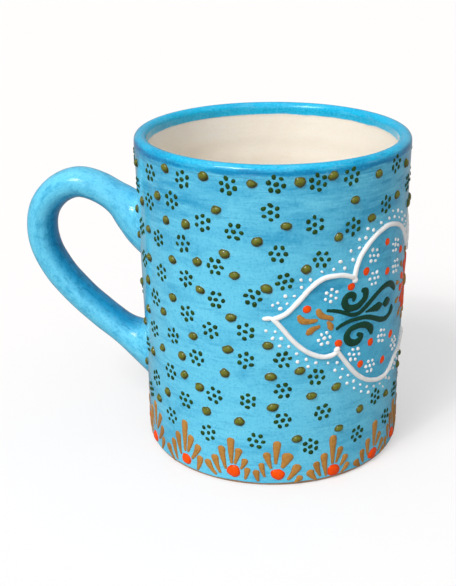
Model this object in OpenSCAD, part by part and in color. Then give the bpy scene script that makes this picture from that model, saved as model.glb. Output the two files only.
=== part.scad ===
// Slip-decorated pottery mug. The axis is Z, the origin is the middle of the standing plane,
// the handle points to -X and the middle of the painted medallion faces +X.

/* [Cup] */
// Height from the table to the top of the lip
cup_h = 100; // [80:1:125]
// Outer diameter at the lip, glaze included
rim_d = 84; // [68:1:104]
// Outer diameter at the table, glaze included
foot_d = 81.2; // [66:0.1:100]
// Thickness of the clay wall
wall_t = 3.4; // [2.6:0.1:4.4]
// Thickness of the clay floor
floor_t = 5; // [3.5:0.1:8]
// Radius between the inside wall and the floor
floor_r = 6; // [4:0.1:10]
// Width of the foot ring
foot_ring_w = 5; // [3.5:0.1:8]
// Depth of the recess inside the foot ring
foot_recess = 1.5; // [0.8:0.1:2.5]
// Chamfer on the outer edge of the foot
foot_chamfer = 0.4; // [0.2:0.05:0.7]

/* [Glaze] */
// Thickness of every glaze coat
glaze_t = 0.25; // [0.2:0.01:0.35]
// Height of the bare clay edge under the wall's glaze
bare_edge_h = 0.8; // [0.6:0.05:1.2]
// Height of the darker band below the top of the lip, outside
rim_band_h = 3.6; // [2.8:0.1:4.6]
// Height of the same band below the top of the lip, inside
rim_inside_h = 4; // [3:0.1:5]
// Thickness of the blue wash inside the medallion
wash_t = 0.15; // [0.12:0.01:0.2]

/* [Handle] */
// Reach of the handle beyond the wall, glaze included
handle_reach = 39.5; // [32:0.1:50]
// Thickness of the clay handle in its own plane
handle_t = 9; // [7.5:0.1:11.5]
// Width of the clay handle across its plane
handle_w = 12; // [9.5:0.1:15]
// Height of the middle of the upper joint
handle_top_z = 68.5; // [62:0.1:72]
// Height of the middle of the lower joint
handle_low_z = 25.6; // [20.5:0.1:30]
// Height of the upper joint's swell on the wall
top_joint_h = 21; // [17:0.1:25]
// Height of the lower joint's swell on the wall
low_joint_h = 20.5; // [15.5:0.1:23]
// Width of both swells on the wall
joint_w = 18.4; // [15:0.1:22]
// Distance from the wall over which a swell dies out
swell_reach = 12.5; // [11:0.1:16]
// Thickness of the joining slip under each end
slip_t = 0.5; // [0.4:0.01:0.7]

/* [Dots] */
// Diameter of the large olive domes
dome_d = 3.3; // [2.7:0.1:3.9]
// Height of the large olive domes
dome_lift = 0.9; // [0.7:0.05:1.1]
// Overall diameter of a green seven-dot rosette
rosette_d = 5.5; // [4.5:0.1:6.5]
// Diameter of one green rosette dot
rosette_dot_d = 1.3; // [1:0.05:1.5]
// Height of one green rosette dot
rosette_dot_lift = 0.35; // [0.25:0.01:0.45]
// Diameter of the red dots inside the medallion
red_dot_d = 2.3; // [1.9:0.1:2.8]
// Height of the red dots
red_dot_lift = 0.4; // [0.3:0.01:0.5]
// Overall diameter of a white seven-dot rosette
white_rosette_d = 4.8; // [4:0.1:5.7]
// Diameter of one white rosette dot
white_dot_d = 1.05; // [0.85:0.05:1.3]
// Height of one white rosette dot
white_dot_lift = 0.35; // [0.25:0.01:0.45]

/* [Medallion] */
// Width of the medallion between its two points, along the wall
medallion_w = 115; // [92:1:124]
// Height of the medallion
medallion_h = 49.6; // [40:0.1:60]
// Width of the trailed white outline
outline_w = 1.5; // [1.2:0.05:1.8]
// Height of the trailed white outline
outline_lift = 0.8; // [0.6:0.05:1]
// Diameter of the beads outside the outline
bead_d = 1.15; // [0.95:0.05:1.4]
// Height of the beads
bead_lift = 0.4; // [0.3:0.01:0.5]
// Distance from the middle of the outline to the first row of beads
bead_first_gap = 2.1; // [1.9:0.1:2.6]
// Distance from the first row of beads to the second
bead_row_gap = 1.9; // [1.7:0.1:2.4]
// Distance between two beads of a row, along the outline
bead_pitch = 3.1; // [2.7:0.1:3.8]
// Greatest width of a green scroll
scroll_w = 2.5; // [2:0.05:2.7]
// Height of a green scroll
scroll_lift = 0.35; // [0.25:0.01:0.45]
// Greatest width of an ochre stroke
sprig_w = 2.1; // [1.7:0.05:2.3]
// Height of an ochre stroke
sprig_lift = 0.35; // [0.25:0.01:0.45]
// Radius of the red flower
flower_r = 8.8; // [7.2:0.1:10]
// Width of one red flower petal
flower_petal_w = 2.2; // [1.8:0.05:2.4]
// Height of a flower petal
flower_lift = 0.35; // [0.25:0.01:0.45]
// Diameter of the flower's heart
flower_heart_d = 4; // [3.2:0.1:4.8]
// Height of the flower's heart
flower_heart_lift = 0.7; // [0.5:0.05:0.9]
// Length of an ochre stroke outside the flower
flower_tip_l = 3; // [2.4:0.1:3.6]
// Width of an ochre stroke outside the flower
flower_tip_w = 1.5; // [1.2:0.05:1.8]
// Gap between the flower and its ochre strokes
flower_tip_gap = 0.6; // [0.4:0.05:0.8]

/* [Border] */
// Height of a palmette above the table
palmette_h = 16.2; // [13.5:0.1:17]
// Width of a full palmette between its outer heads
palmette_w = 16; // [14:0.1:17]
// Greatest width of a palmette petal
petal_w = 2.5; // [2:0.05:2.6]
// Height of a palmette petal
petal_lift = 0.35; // [0.25:0.01:0.45]
// Diameter of a palmette's heart
heart_d = 3.9; // [3.2:0.1:4.3]
// Height of a palmette's heart
heart_lift = 0.7; // [0.5:0.05:0.9]
// Height of the middle of a heart above the table
heart_z = 3.8; // [3.4:0.1:4.2]

/* [Hidden] */

// Facets of round shapes, sides of the handle, steps between two chosen points of a curve
round_fn = 96;
dot_fn = 36;
handle_sides = 20;
handle_steps = 3;
curve_steps = 2;

// Overrun of cuts, and the gap that keeps applied slip clear of the curved coat under it
overrun = 1;
seat_gap = 0.03;

// Driving radii and heights of the wall
lip_r = wall_t / 2;
lip_z = cup_h - glaze_t - lip_r;
wall_mean_r = (rim_d + foot_d) / 4;
wall_lean = atan((rim_d - foot_d) / 2 / cup_h);
rim_band_z = cup_h - rim_band_h;
rim_inside_z = cup_h - rim_inside_h;
on_wash = wash_t + seat_gap;
medallion_share = 0.535;
medallion_z = medallion_share * cup_h;

// Radius of the glazed outside, the bare clay outside and the inside at a height
function wall_r(z) = (foot_d + (rim_d - foot_d) * z / cup_h) / 2;
function clay_r(z) = wall_r(z) - glaze_t;
function inside_r(z, coat) = clay_r(z) - wall_t - coat;

// A place on the glazed wall: x along the wall from the middle of the medallion, z up, lift outwards
function wall_angle(x) = x / (PI * wall_mean_r) * 180;
function wall_point(x, z, lift) =
    let(a = wall_angle(x), r = wall_r(z) + lift) [r * cos(a), r * sin(a), z];

// A smooth curve through chosen points, for lists of any width
function curve_at(a, b, c, d, t) =
    (2 * b + (c - a) * t + (2 * a - 5 * b + 4 * c - d) * t * t + (3 * b - a - 3 * c + d) * t * t * t) / 2;
function curve(p, steps) = concat(
    [for (i = [0:len(p) - 2], k = [0:steps - 1])
        curve_at(p[max(i - 1, 0)], p[i], p[i + 1], p[min(i + 2, len(p) - 1)], k / steps)],
    [p[len(p) - 1]]);
function without_last(p) = [for (i = [0:len(p) - 2]) p[i]];
function reversed(p) = [for (i = [len(p) - 1:-1:0]) p[i]];
function mirrored(p) = [for (q = p) concat([-q[0]], [for (i = [1:len(q) - 1]) q[i]])];

// The side direction of a path at one point, mitred where the path turns
function unit(v) = v / norm(v);
function left_of(a, b) = let(t = unit(b - a)) [-t.y, t.x];
function side_at(p, i, closed) =
    let(
        n = len(p),
        before = closed ? p[(i + n - 1) % n] : p[max(i - 1, 0)],
        after = closed ? p[(i + 1) % n] : p[min(i + 1, n - 1)],
        a = before == p[i] ? left_of(p[i], after) : left_of(before, p[i]),
        b = after == p[i] ? left_of(before, p[i]) : left_of(p[i], after)
    ) (a + b) / (1 + a * b);

// Half the section of a trail of slip: share of the half width, share of the height
trail_section_shares = [[-1, 0], [-0.7, 0.7], [0, 1], [0.7, 0.7], [1, 0]];

// A raised trail on the wall along a path of [x, z] places; widths holds the width at each place
module trail(path, widths, lift, seat, closed = false) {
    n = len(path);
    m = len(trail_section_shares);
    full = max(widths);
    points = [for (i = [0:n - 1]) let(side = side_at(path, i, closed)) for (s = trail_section_shares)
        let(q = path[i] + side * s.x * widths[i] / 2)
            wall_point(q.x, q.y, seat + lift * s.y * min(1, sqrt(widths[i] / full)))];
    rings = closed ? n - 1 : n - 2;
    sides = [for (i = [0:rings], j = [0:m - 1])
        let(
            a = i * m + j,
            b = i * m + (j + 1) % m,
            c = ((i + 1) % n) * m + j,
            d = ((i + 1) % n) * m + (j + 1) % m
        ) each [[a, b, c], [b, d, c]]];
    first_cap = [for (j = [1:m - 2]) [0, j + 1, j]];
    last_cap = [for (j = [1:m - 2]) [(n - 1) * m, (n - 1) * m + j, (n - 1) * m + j + 1]];
    polyhedron(points, closed ? sides : concat(sides, first_cap, last_cap), convexity = 10);
}

// A teardrop stroke from its round head, whose places are shares of its width, to its thin tail, whose
// places are shares of what is left
petal_head_shares = [0, 0.12, 0.45];
petal_tail_shares = [0.35, 0.7, 1];
petal_width_shares = [0.42, 0.8, 1, 0.72, 0.44, 0.24];
module petal(head, tail, w, lift, seat) {
    long = norm(tail - head);
    head_l = petal_head_shares[2] * w;
    places = concat(petal_head_shares * w, [for (t = petal_tail_shares) head_l + (long - head_l) * t]);
    trail([for (d = places) head + unit(tail - head) * d], petal_width_shares * w, lift, seat);
}

// A round dome on the wall at an angle round the cup and a height
module dome(d, lift) {
    sphere_r = (d * d / 4 + lift * lift) / (2 * lift);
    rotate_extrude($fn = dot_fn)
        intersection() {
            translate([0, lift - sphere_r]) circle(sphere_r, $fn = round_fn);
            square([d, lift]);
        }
}
module on_wall(angle, z, seat) {
    rotate([0, 0, angle]) translate([wall_r(z) + seat, 0, z]) rotate([0, 90 + wall_lean, 0]) children();
}

// One dot ringed by six at a place on the wall; each rosette is turned by a multiple of its own angle
turn_share = 7;
module rosette(angle, z, d, dot_d, lift, seat, turn) {
    ring_r = (d - dot_d) / 2;
    on_wall(angle, z, seat) dome(dot_d, lift);
    for (k = [0:5])
        on_wall(angle + wall_angle(ring_r * cos(turn + 60 * k)), z + ring_r * sin(turn + 60 * k), seat)
            dome(dot_d, lift);
}

// The medallion's outline: the left half as four arcs that meet at points, from the left point of the
// medallion over the top to the middle and from the middle back below; shares of half its width and height
top_side_shares = [[-1, 0.07], [-0.94, 0.135], [-0.88, 0.275], [-0.815, 0.44], [-0.755, 0.53], [-0.69, 0.545],
    [-0.63, 0.525], [-0.575, 0.47]];
top_lobe_shares = [[-0.575, 0.47], [-0.565, 0.61], [-0.535, 0.745], [-0.485, 0.86], [-0.425, 0.94],
    [-0.35, 0.985], [-0.275, 0.96], [-0.2, 0.89], [-0.14, 0.785], [-0.09, 0.65], [-0.05, 0.55], [0, 0.49]];
low_lobe_shares = [[0, -0.68], [-0.07, -0.78], [-0.135, -0.815], [-0.19, -0.86], [-0.24, -0.945],
    [-0.295, -1], [-0.355, -1], [-0.415, -0.965], [-0.475, -0.905], [-0.535, -0.8], [-0.585, -0.67],
    [-0.63, -0.53], [-0.665, -0.42]];
low_side_shares = [[-0.665, -0.42], [-0.7, -0.455], [-0.75, -0.452], [-0.805, -0.4], [-0.855, -0.32],
    [-0.905, -0.205], [-0.955, -0.055], [-1, 0.07]];

function in_medallion(shares) = [for (s = shares)
    [s[0] * medallion_w / 2, medallion_z + s[1] * medallion_h / 2]];
function arc_of(shares) = without_last(curve(in_medallion(shares), curve_steps));
left_top = concat(arc_of(top_side_shares), arc_of(top_lobe_shares));
left_low = concat(arc_of(low_lobe_shares), arc_of(low_side_shares));
right_top = mirrored(reversed(concat(left_top, [in_medallion([[0, 0.49]])[0]])));
right_low = mirrored(reversed(concat(left_low, [in_medallion([[-1, 0.07]])[0]])));
outline_path = concat(left_top, without_last(right_top), without_last(right_low), left_low);

function is_inside(p, path) = len([for (i = [0:len(path) - 1])
    let(a = path[i], b = path[(i + 1) % len(path)])
    if ((a.y > p.y) != (b.y > p.y) && p.x < (b.x - a.x) * (p.y - a.y) / (b.y - a.y) + a.x) 1]) % 2 == 1;
function outline_distance(p) = min([for (q = outline_path) norm(p - q)]);

// The places of a table of dots on the wall, on both halves, that keep a dot's gap to the first row of beads
dot_gap = 0.3;
function is_free(p, r) =
    !is_inside(p, outline_path) && outline_distance(p) > bead_first_gap + bead_d / 2 + dot_gap + r;
function wall_places(shares, r) = [for (s = shares, side = [-1, 1])
    let(p = [side * (180 - s[0]) / 180 * PI * wall_mean_r, s[1] * cup_h]) if (is_free(p, r)) p];
function clear_of(p, places, least) = len([for (q = places) if (norm(q - p) < least) 1]) == 0;

// Beads at even steps along the outline, the second row halfway between those of the first; a bead keeps
// its distance to the outline and to the beads before it
bead_keep_share = 0.93;
bead_step_share = 1.4;
outline_loop = concat(outline_path, [outline_path[0]]);
outline_steps = [for (i = [1:len(outline_path)]) norm(outline_loop[i] - outline_loop[i - 1])];
function runs_to(i) =
    i == 0 ? [0] : let(runs = runs_to(i - 1)) concat(runs, [runs[i - 1] + outline_steps[i - 1]]);
outline_runs = runs_to(len(outline_steps));
outline_length = outline_runs[len(outline_steps)];
bead_count = floor(outline_length / bead_pitch);
function outline_at(run) = [for (axis = [0, 1])
    lookup((run + outline_length) % outline_length,
        [for (i = [0:len(outline_steps)]) [outline_runs[i], outline_loop[i][axis]]])];
function bead_row(gap, start_share) = [for (k = [0:bead_count - 1])
    let(
        step = outline_length / bead_count,
        run = (k + start_share) * step,
        p = outline_at(run) + left_of(outline_at(run - step / 4), outline_at(run + step / 4)) * gap
    )
    if (outline_distance(p) > bead_keep_share * gap) p];
function spaced(p, least, i = 0, kept = []) = i == len(p) ? kept
    : spaced(p, least, i + 1, clear_of(p[i], kept, least) ? concat(kept, [p[i]]) : kept);

// Places round the wall: the angle from the handle in degrees and the share of the cup's height. Each is
// painted on the front half and mirrored on the back half.
olive_dome_shares = [
    [6, 0.94], [27, 0.93], [54, 0.96], [73, 0.96], [92, 0.95], [110, 0.955], [123, 0.965], [145, 0.945],
    [167, 0.94], [48, 0.87], [78, 0.868], [133, 0.885], [159, 0.86], [33, 0.825], [105, 0.83], [53, 0.805],
    [64, 0.81], [142, 0.82], [94, 0.785], [126, 0.785], [176, 0.8], [19, 0.77], [39, 0.75], [81, 0.742],
    [69, 0.705], [113, 0.7], [56, 0.69], [85, 0.68], [22, 0.695], [38, 0.66], [97.6, 0.645], [70, 0.62],
    [35, 0.58], [55, 0.57], [83, 0.55], [22, 0.54], [48, 0.51], [33, 0.48], [65.5, 0.468], [98, 0.47],
    [81.5, 0.448], [5, 0.43], [25, 0.415], [46, 0.385], [59, 0.39], [80, 0.37], [99, 0.37], [111, 0.385],
    [36, 0.345], [60, 0.33], [68, 0.305], [116, 0.3], [127, 0.315], [99.8, 0.27], [20, 0.26], [48, 0.24],
    [71, 0.23], [86, 0.215], [140, 0.215], [159, 0.215], [174, 0.27], [40, 0.195], [110, 0.16], [129, 0.172],
];
green_rosette_shares = [
    [16, 0.93], [43, 0.93], [63, 0.94], [83, 0.94], [101, 0.95], [117, 0.95], [131, 0.955], [157, 0.955],
    [57, 0.87], [99, 0.87], [26, 0.86], [41, 0.84], [72, 0.825], [116, 0.83], [132.5, 0.808], [150.5, 0.845],
    [172, 0.87], [85, 0.81], [30, 0.74], [47, 0.74], [62, 0.75], [102, 0.75], [119, 0.725], [77, 0.7],
    [31, 0.64], [48, 0.635], [63, 0.645], [104.5, 0.667], [92, 0.618], [77, 0.6], [13, 0.5], [42, 0.54],
    [63, 0.535], [89, 0.51], [74, 0.5], [54, 0.445], [39, 0.43], [89, 0.42], [104, 0.425], [67, 0.4],
    [118, 0.36], [28, 0.345], [51, 0.32], [104, 0.325], [75, 0.29], [89.7, 0.287], [134.5, 0.285], [38, 0.26],
    [60, 0.245], [104, 0.225], [121, 0.24], [150, 0.23], [170, 0.195], [29, 0.19], [50, 0.165], [71.5, 0.157],
    [93, 0.155], [116, 0.13], [139, 0.13], [160, 0.13],
];
dome_places = wall_places(olive_dome_shares, dome_d / 2);
rosette_places = wall_places(green_rosette_shares, rosette_d / 2);
// Petals of the palmettes, each by hand: head x, head z, tail x, tail z and width; shares of half the
// palmette's width, of its height and of the petal width
palmette_a_shares = [
    [0.2, 1.02, 0.15, 0.5, 1.1],
    [0.74, 0.85, 0.29, 0.45, 1], [0.88, 0.61, 0.45, 0.25, 1], [0.9, 0.38, 0.71, 0.09, 0.95],
    [-0.35, 0.8, -0.2, 0.42, 1], [-0.7, 0.58, -0.42, 0.24, 1], [-0.92, 0.36, -0.68, 0.09, 0.95],
];
palmette_b_shares = [
    [-0.02, 1.07, -0.07, 0.41, 1.12],
    [-0.45, 0.75, -0.31, 0.3, 1.06], [-0.75, 0.54, -0.54, 0.13, 1], [-1.16, 0.35, -0.75, 0.07, 1],
    [0.31, 0.79, 0.1, 0.41, 0.98], [0.66, 0.64, 0.3, 0.3, 0.98], [0.72, 0.42, 0.57, 0.1, 0.98],
];
palmette_c_shares = [
    [-0.09, 0.965, -0.09, 0.43, 1.02],
    [-0.48, 0.76, -0.33, 0.3, 1], [-0.8, 0.55, -0.57, 0.18, 0.95], [-1.14, 0.39, -0.75, 0.12, 1.02],
    [0.25, 0.77, 0.07, 0.44, 0.9], [0.48, 0.56, 0.31, 0.34, 0.84], [0.56, 0.37, 0.45, 0.12, 0.74],
];
palmette_d_shares = [
    [-0.03, 0.96, -0.08, 0.49, 0.96],
    [-0.43, 0.73, -0.27, 0.39, 0.96], [-0.62, 0.49, -0.5, 0.21, 0.74], [-0.82, 0.345, -0.75, 0.11, 0.92],
    [0.42, 0.7, 0.19, 0.41, 1.6], [0.79, 0.45, 0.41, 0.14, 1.1], [0.93, 0.2, 0.68, 0.07, 0.85],
];
palmette_e_shares = [
    [-0.05, 0.94, -0.05, 0.35, 1.08],
    [-0.42, 0.61, -0.32, 0.12, 1], [-0.76, 0.45, -0.56, 0.13, 0.9], [-1.03, 0.295, -0.76, 0.07, 1],
    [0.31, 0.66, 0.1, 0.35, 0.9], [0.58, 0.45, 0.3, 0.25, 0.9], [0.68, 0.26, 0.36, 0.09, 0.84],
];
palmette_f_shares = [
    [0.08, 0.89, 0.06, 0.35, 1.2],
    [-0.33, 0.58, -0.31, 0.22, 1], [-0.66, 0.41, -0.58, 0.12, 0.95], [-1.05, 0.24, -0.8, 0.07, 1],
    [0.48, 0.57, 0.21, 0.33, 0.95], [0.75, 0.37, 0.4, 0.16, 0.92], [0.9, 0.17, 0.56, 0.07, 0.7],
];
palmette_narrow_shares = [
    [0, 0.97, 0, 0.42, 1],
    [-0.36, 0.76, -0.26, 0.38, 0.9], [-0.59, 0.55, -0.46, 0.22, 0.82], [-0.78, 0.32, -0.67, 0.09, 0.82],
    [0.34, 0.76, 0.26, 0.38, 0.85], [0.54, 0.55, 0.43, 0.24, 0.76], [0.7, 0.32, 0.62, 0.09, 0.72],
];
// Palmettes: the angle from the handle, the share of the heart's height and the petals
palmettes = [
    [11, 1, palmette_narrow_shares], [32, 0.78, palmette_a_shares], [59, 0.98, palmette_b_shares],
    [83, 1.15, palmette_c_shares], [102, 1.1, palmette_d_shares], [127, 0.8, palmette_e_shares],
    [150, 0.78, palmette_f_shares], [170, 1, palmette_narrow_shares],
];

// Places inside the medallion, in shares of half its width and height, mirrored on its other half
red_dot_shares = [[-0.835, 0.18], [-0.595, 0.37], [-0.5, 0.51], [-0.34, 0.78], [-0.325, 0.4],
    [-0.17, 0.57], [-0.66, -0.315], [-0.445, -0.43], [-0.25, -0.48], [-0.515, -0.67], [-0.33, -0.76]];
white_rosette_shares = [[-0.71, 0.31], [-0.45, 0.68], [-0.44, 0.39], [-0.25, 0.68], [-0.235, 0.4],
    [-0.74, -0.22], [-0.56, -0.515], [-0.35, -0.42], [-0.44, -0.75], [-0.2, -0.65]];
// Strokes: x, z and width at each chosen place, in shares of half the medallion and of the stroke's width
scroll_shares = [
    // curl above
    [[-0.52, 0.29, 0.5], [-0.5, 0.26, 0.84], [-0.499, 0.19, 0.88], [-0.52, 0.142, 0.82],
        [-0.549, 0.102, 0.82], [-0.584, 0.097, 0.8], [-0.614, 0.117, 0.84], [-0.632, 0.18, 0.84],
        [-0.625, 0.246, 0.8], [-0.6, 0.27, 0.72], [-0.575, 0.24, 0.68], [-0.577, 0.196, 0.45]],
    // curl below
    [[-0.443, -0.302, 0.6], [-0.448, -0.254, 0.9], [-0.471, -0.198, 0.8], [-0.508, -0.161, 0.7],
        [-0.548, -0.155, 0.68], [-0.589, -0.173, 0.76], [-0.612, -0.238, 0.84], [-0.604, -0.31, 0.84],
        [-0.574, -0.357, 0.82], [-0.538, -0.355, 0.8], [-0.519, -0.303, 0.68], [-0.54, -0.262, 0.45]],
    // long stroke above, from its thin start to its hooked end
    [[-0.727, 0.129, 0.3], [-0.68, 0.105, 0.4], [-0.63, 0.06, 0.44], [-0.585, 0.011, 0.44],
        [-0.54, 0.008, 0.5], [-0.495, 0.058, 0.6], [-0.445, 0.13, 0.64], [-0.4, 0.185, 0.64],
        [-0.35, 0.222, 0.66], [-0.3, 0.222, 0.72], [-0.26, 0.175, 0.8], [-0.235, 0.115, 0.6]],
    // long stroke below, from its thin start to its round end
    [[-0.672, -0.122, 0.34], [-0.646, -0.09, 0.44], [-0.6, -0.063, 0.46], [-0.545, -0.061, 0.46],
        [-0.49, -0.074, 0.5], [-0.44, -0.115, 0.56], [-0.375, -0.185, 0.6], [-0.325, -0.213, 0.64],
        [-0.285, -0.19, 0.68], [-0.262, -0.14, 0.88], [-0.26, -0.11, 0.6]],
    // leaf between them
    [[-0.49, -0.008, 0.16], [-0.465, -0.005, 0.4], [-0.435, -0.003, 0.75], [-0.408, -0.003, 1.02],
        [-0.386, -0.003, 1.02], [-0.372, -0.003, 0.6]],
    // round spot
    [[-0.344, 0, 0.5], [-0.335, 0, 0.95], [-0.318, 0, 1.15], [-0.301, 0, 0.95], [-0.292, 0, 0.5]],
];
sprig_shares = [
    [[-0.874, 0.09, 0.6], [-0.867, 0.06, 0.9], [-0.852, 0.03, 0.9], [-0.825, 0.02, 0.7], [-0.8, 0.022, 0.6],
        [-0.785, 0.024, 0.4]],
    [[-0.776, 0.14, 0.7], [-0.77, 0.105, 0.85], [-0.755, 0.07, 0.75], [-0.735, 0.05, 0.68],
        [-0.712, 0.03, 0.65], [-0.7, 0.012, 0.45]],
    [[-0.828, -0.125, 0.65], [-0.82, -0.11, 0.95], [-0.8, -0.08, 0.75], [-0.772, -0.06, 0.45]],
    [[-0.704, -0.105, 0.6], [-0.709, -0.075, 0.85], [-0.716, -0.042, 0.62], [-0.723, -0.022, 0.4]],
];
// The little blob at each point of the medallion
point_blob_shares = [[-1.06, 0.085, 0.6], [-1.05, 0.085, 1.2], [-1.036, 0.08, 0.9]];
// The flower at the middle: petals all round, their tails as a share of the flower's radius
flower_count = 12;
flower_share = 0.015;
flower_tail_share = 0.34;
flower_z = medallion_z + flower_share * medallion_h;

// A stroke inside the medallion, on the front half and mirrored
module stroke(shares, w, lift, seat) {
    for (side_shares = [shares, mirrored(shares)]) {
        places = curve(side_shares, curve_steps);
        trail(in_medallion(places), [for (p = places) p[2] * w], lift, seat);
    }
}

// The handle: x beyond the wall and height of its middle line, in shares of its reach and of the height
// between its joints; it starts and ends inside the wall, past the buried share
buried_share = -0.1;
swell_power = 2.5;
handle_line_shares = [[-0.16, 0.955], [-0.05, 0.965], [0.035, 1.01], [0.12, 1.075], [0.23, 1.16],
    [0.41, 1.245], [0.61, 1.28], [0.8, 1.22], [0.945, 1.09], [1, 0.925], [0.97, 0.74], [0.85, 0.555],
    [0.68, 0.395], [0.5, 0.262], [0.325, 0.15], [0.185, 0.075], [0.08, 0.03], [-0.04, 0], [-0.16, -0.01]];

// Sections of the handle, round in both directions, that swell towards the wall. The section's long
// direction leans from square to the line to upright as it swells.
module handle_sweep(coat, extra = 0) {
    line_x = handle_reach - glaze_t - handle_t / 2;
    line_h = handle_top_z - handle_low_z;
    chosen = [for (s = handle_line_shares)
        [s.x * line_x - (s.x < buried_share ? extra : 0), handle_low_z + s.y * line_h]];
    line = curve(chosen, handle_steps);
    n = len(line);
    rings = [for (i = [0:n - 1])
        let(
            run = unit(line[min(i + 1, n - 1)] - line[max(i - 1, 0)]),
            swell = pow(max(0, 1 - max(0, line[i].x) / swell_reach), swell_power),
            is_top = i < n / 2,
            joint_h = is_top ? top_joint_h : low_joint_h,
            across = unit([-run.y, run.x] * (1 - swell) + [0, is_top ? 1 : -1] * swell),
            half_t = (handle_t + swell * (joint_h - handle_t)) / 2 + coat,
            half_w = (handle_w + swell * (joint_w - handle_w)) / 2 + coat
        )
        for (j = [0:handle_sides - 1])
            let(a = 360 * j / handle_sides, q = line[i] + across * half_t * cos(a))
                [-(wall_r(q.y) + q.x), half_w * sin(a), q.y]];
    m = handle_sides;
    sides = [for (i = [0:n - 2], j = [0:m - 1])
        let(a = i * m + j, b = i * m + (j + 1) % m) each [[a, a + m, b], [b, a + m, b + m]]];
    first_cap = [for (j = [1:m - 2]) [0, j, j + 1]];
    last_cap = [for (j = [1:m - 2]) [(n - 1) * m, (n - 1) * m + j + 1, (n - 1) * m + j]];
    polyhedron(rings, concat(sides, first_cap, last_cap), convexity = 10);
}

// A solid cone that follows the bare clay wall, grown by a layer
module clay_cone(layer) {
    cylinder(h = cup_h, r1 = clay_r(0) + layer, r2 = clay_r(cup_h) + layer, $fn = round_fn);
}

// Half sections of the cup: its hollow and its whole outline, both grown by a coat
module hollow_section(coat) {
    bottom = floor_t + coat;
    corner_z = floor_t + floor_r;
    corner_x = inside_r(corner_z, 0) - floor_r;
    polygon([[0, bottom], [corner_x, bottom], [corner_x, corner_z], [inside_r(corner_z, coat), corner_z],
        [inside_r(lip_z, coat), lip_z], [0, lip_z]]);
    translate([corner_x, corner_z]) circle(floor_r - coat, $fn = round_fn);
}
module cup_section(coat) {
    difference() {
        union() {
            polygon([[0, foot_recess], [clay_r(0) - foot_ring_w, foot_recess], [clay_r(0) - foot_ring_w, 0],
                [clay_r(0) - foot_chamfer, 0], [clay_r(foot_chamfer) + coat, foot_chamfer],
                [clay_r(lip_z) + coat, lip_z], [0, lip_z]]);
            translate([clay_r(lip_z) - lip_r, lip_z]) circle(lip_r + coat, $fn = round_fn);
        }
        hollow_section(coat);
    }
}

module clay_body() {
    color([0.68, 0.5, 0.35]) rotate_extrude($fn = round_fn) cup_section(0);
}

module handle() {
    color([0.7, 0.52, 0.37])
        difference() {
            handle_sweep(0);
            clay_cone(slip_t);
        }
}

module handle_slip() {
    color([0.6, 0.43, 0.3])
        intersection() {
            handle_sweep(0);
            difference() {
                clay_cone(slip_t);
                translate([0, 0, -overrun]) cylinder(h = overrun, r = rim_d, $fn = round_fn);
                clay_cone(0);
            }
        }
}

module wall_glaze() {
    color([0.3, 0.72, 0.91])
        difference() {
            rotate_extrude($fn = round_fn)
                polygon([[clay_r(bare_edge_h), bare_edge_h], [wall_r(bare_edge_h), bare_edge_h],
                    [wall_r(rim_band_z), rim_band_z], [clay_r(rim_band_z), rim_band_z]]);
            handle_sweep(glaze_t);
        }
}

module rim_glaze() {
    color([0.13, 0.6, 0.85])
        rotate_extrude($fn = round_fn)
            difference() {
                intersection() {
                    cup_section(glaze_t);
                    polygon([[inside_r(cup_h, glaze_t) - overrun, rim_inside_z],
                        [clay_r(lip_z) - lip_r, rim_inside_z], [clay_r(lip_z) - lip_r, rim_band_z],
                        [rim_d / 2 + overrun, rim_band_z], [rim_d / 2 + overrun, cup_h + overrun],
                        [inside_r(cup_h, glaze_t) - overrun, cup_h + overrun]]);
                }
                cup_section(0);
            }
}

module handle_glaze() {
    color([0.25, 0.68, 0.88])
        difference() {
            handle_sweep(glaze_t);
            clay_cone(0);
            handle_sweep(0, overrun);
        }
}

module inner_glaze() {
    color([0.95, 0.9, 0.84])
        rotate_extrude($fn = round_fn)
            difference() {
                intersection() {
                    hollow_section(0);
                    square([rim_d, rim_inside_z]);
                }
                hollow_section(glaze_t);
            }
}

// The wash fills the outline: a thin cone coat cut by straight rays from the axis through the outline
module medallion_wash() {
    n = len(outline_path);
    near_share = 0.4;
    far_share = 1.7;
    function ray(p, share) = let(q = wall_point(p.x, p.y, 0)) [q.x * share, q.y * share, q.z];
    middle = [0, flower_z];
    points = concat([for (p = outline_path) ray(p, near_share)], [for (p = outline_path) ray(p, far_share)],
        [ray(middle, near_share), ray(middle, far_share)]);
    faces = [for (i = [0:n - 1]) let(k = (i + 1) % n)
        each [[i, k, n + k], [i, n + k, n + i], [2 * n, k, i], [2 * n + 1, n + i, n + k]]];
    color([0.2, 0.55, 0.74])
        intersection() {
            difference() {
                clay_cone(glaze_t + wash_t);
                clay_cone(glaze_t);
            }
            polyhedron(points, faces, convexity = 10);
        }
}

module medallion_outline() {
    color([0.96, 0.96, 0.96]) {
        trail(outline_path, [for (p = outline_path) outline_w], outline_lift, on_wash, true);
        stroke(point_blob_shares, outline_w, outline_lift, on_wash);
    }
}

module outline_beads() {
    rows = concat(bead_row(bead_first_gap, 0), bead_row(bead_first_gap + bead_row_gap, 0.5));
    color([0.96, 0.96, 0.96])
        for (p = spaced(rows, bead_d * bead_step_share))
            if (clear_of(p, dome_places, (dome_d + bead_d) / 2 + dot_gap)
                && clear_of(p, rosette_places, (rosette_d + bead_d) / 2 + dot_gap))
                on_wall(wall_angle(p.x), p.y, seat_gap) dome(bead_d, bead_lift);
}

module white_rosettes() {
    color([0.96, 0.96, 0.96])
        for (s = concat(white_rosette_shares, mirrored(white_rosette_shares))) {
            p = in_medallion([s])[0];
            rosette(wall_angle(p.x), p.y, white_rosette_d, white_dot_d, white_dot_lift, on_wash,
                turn_share * wall_angle(p.x));
        }
}

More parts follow.
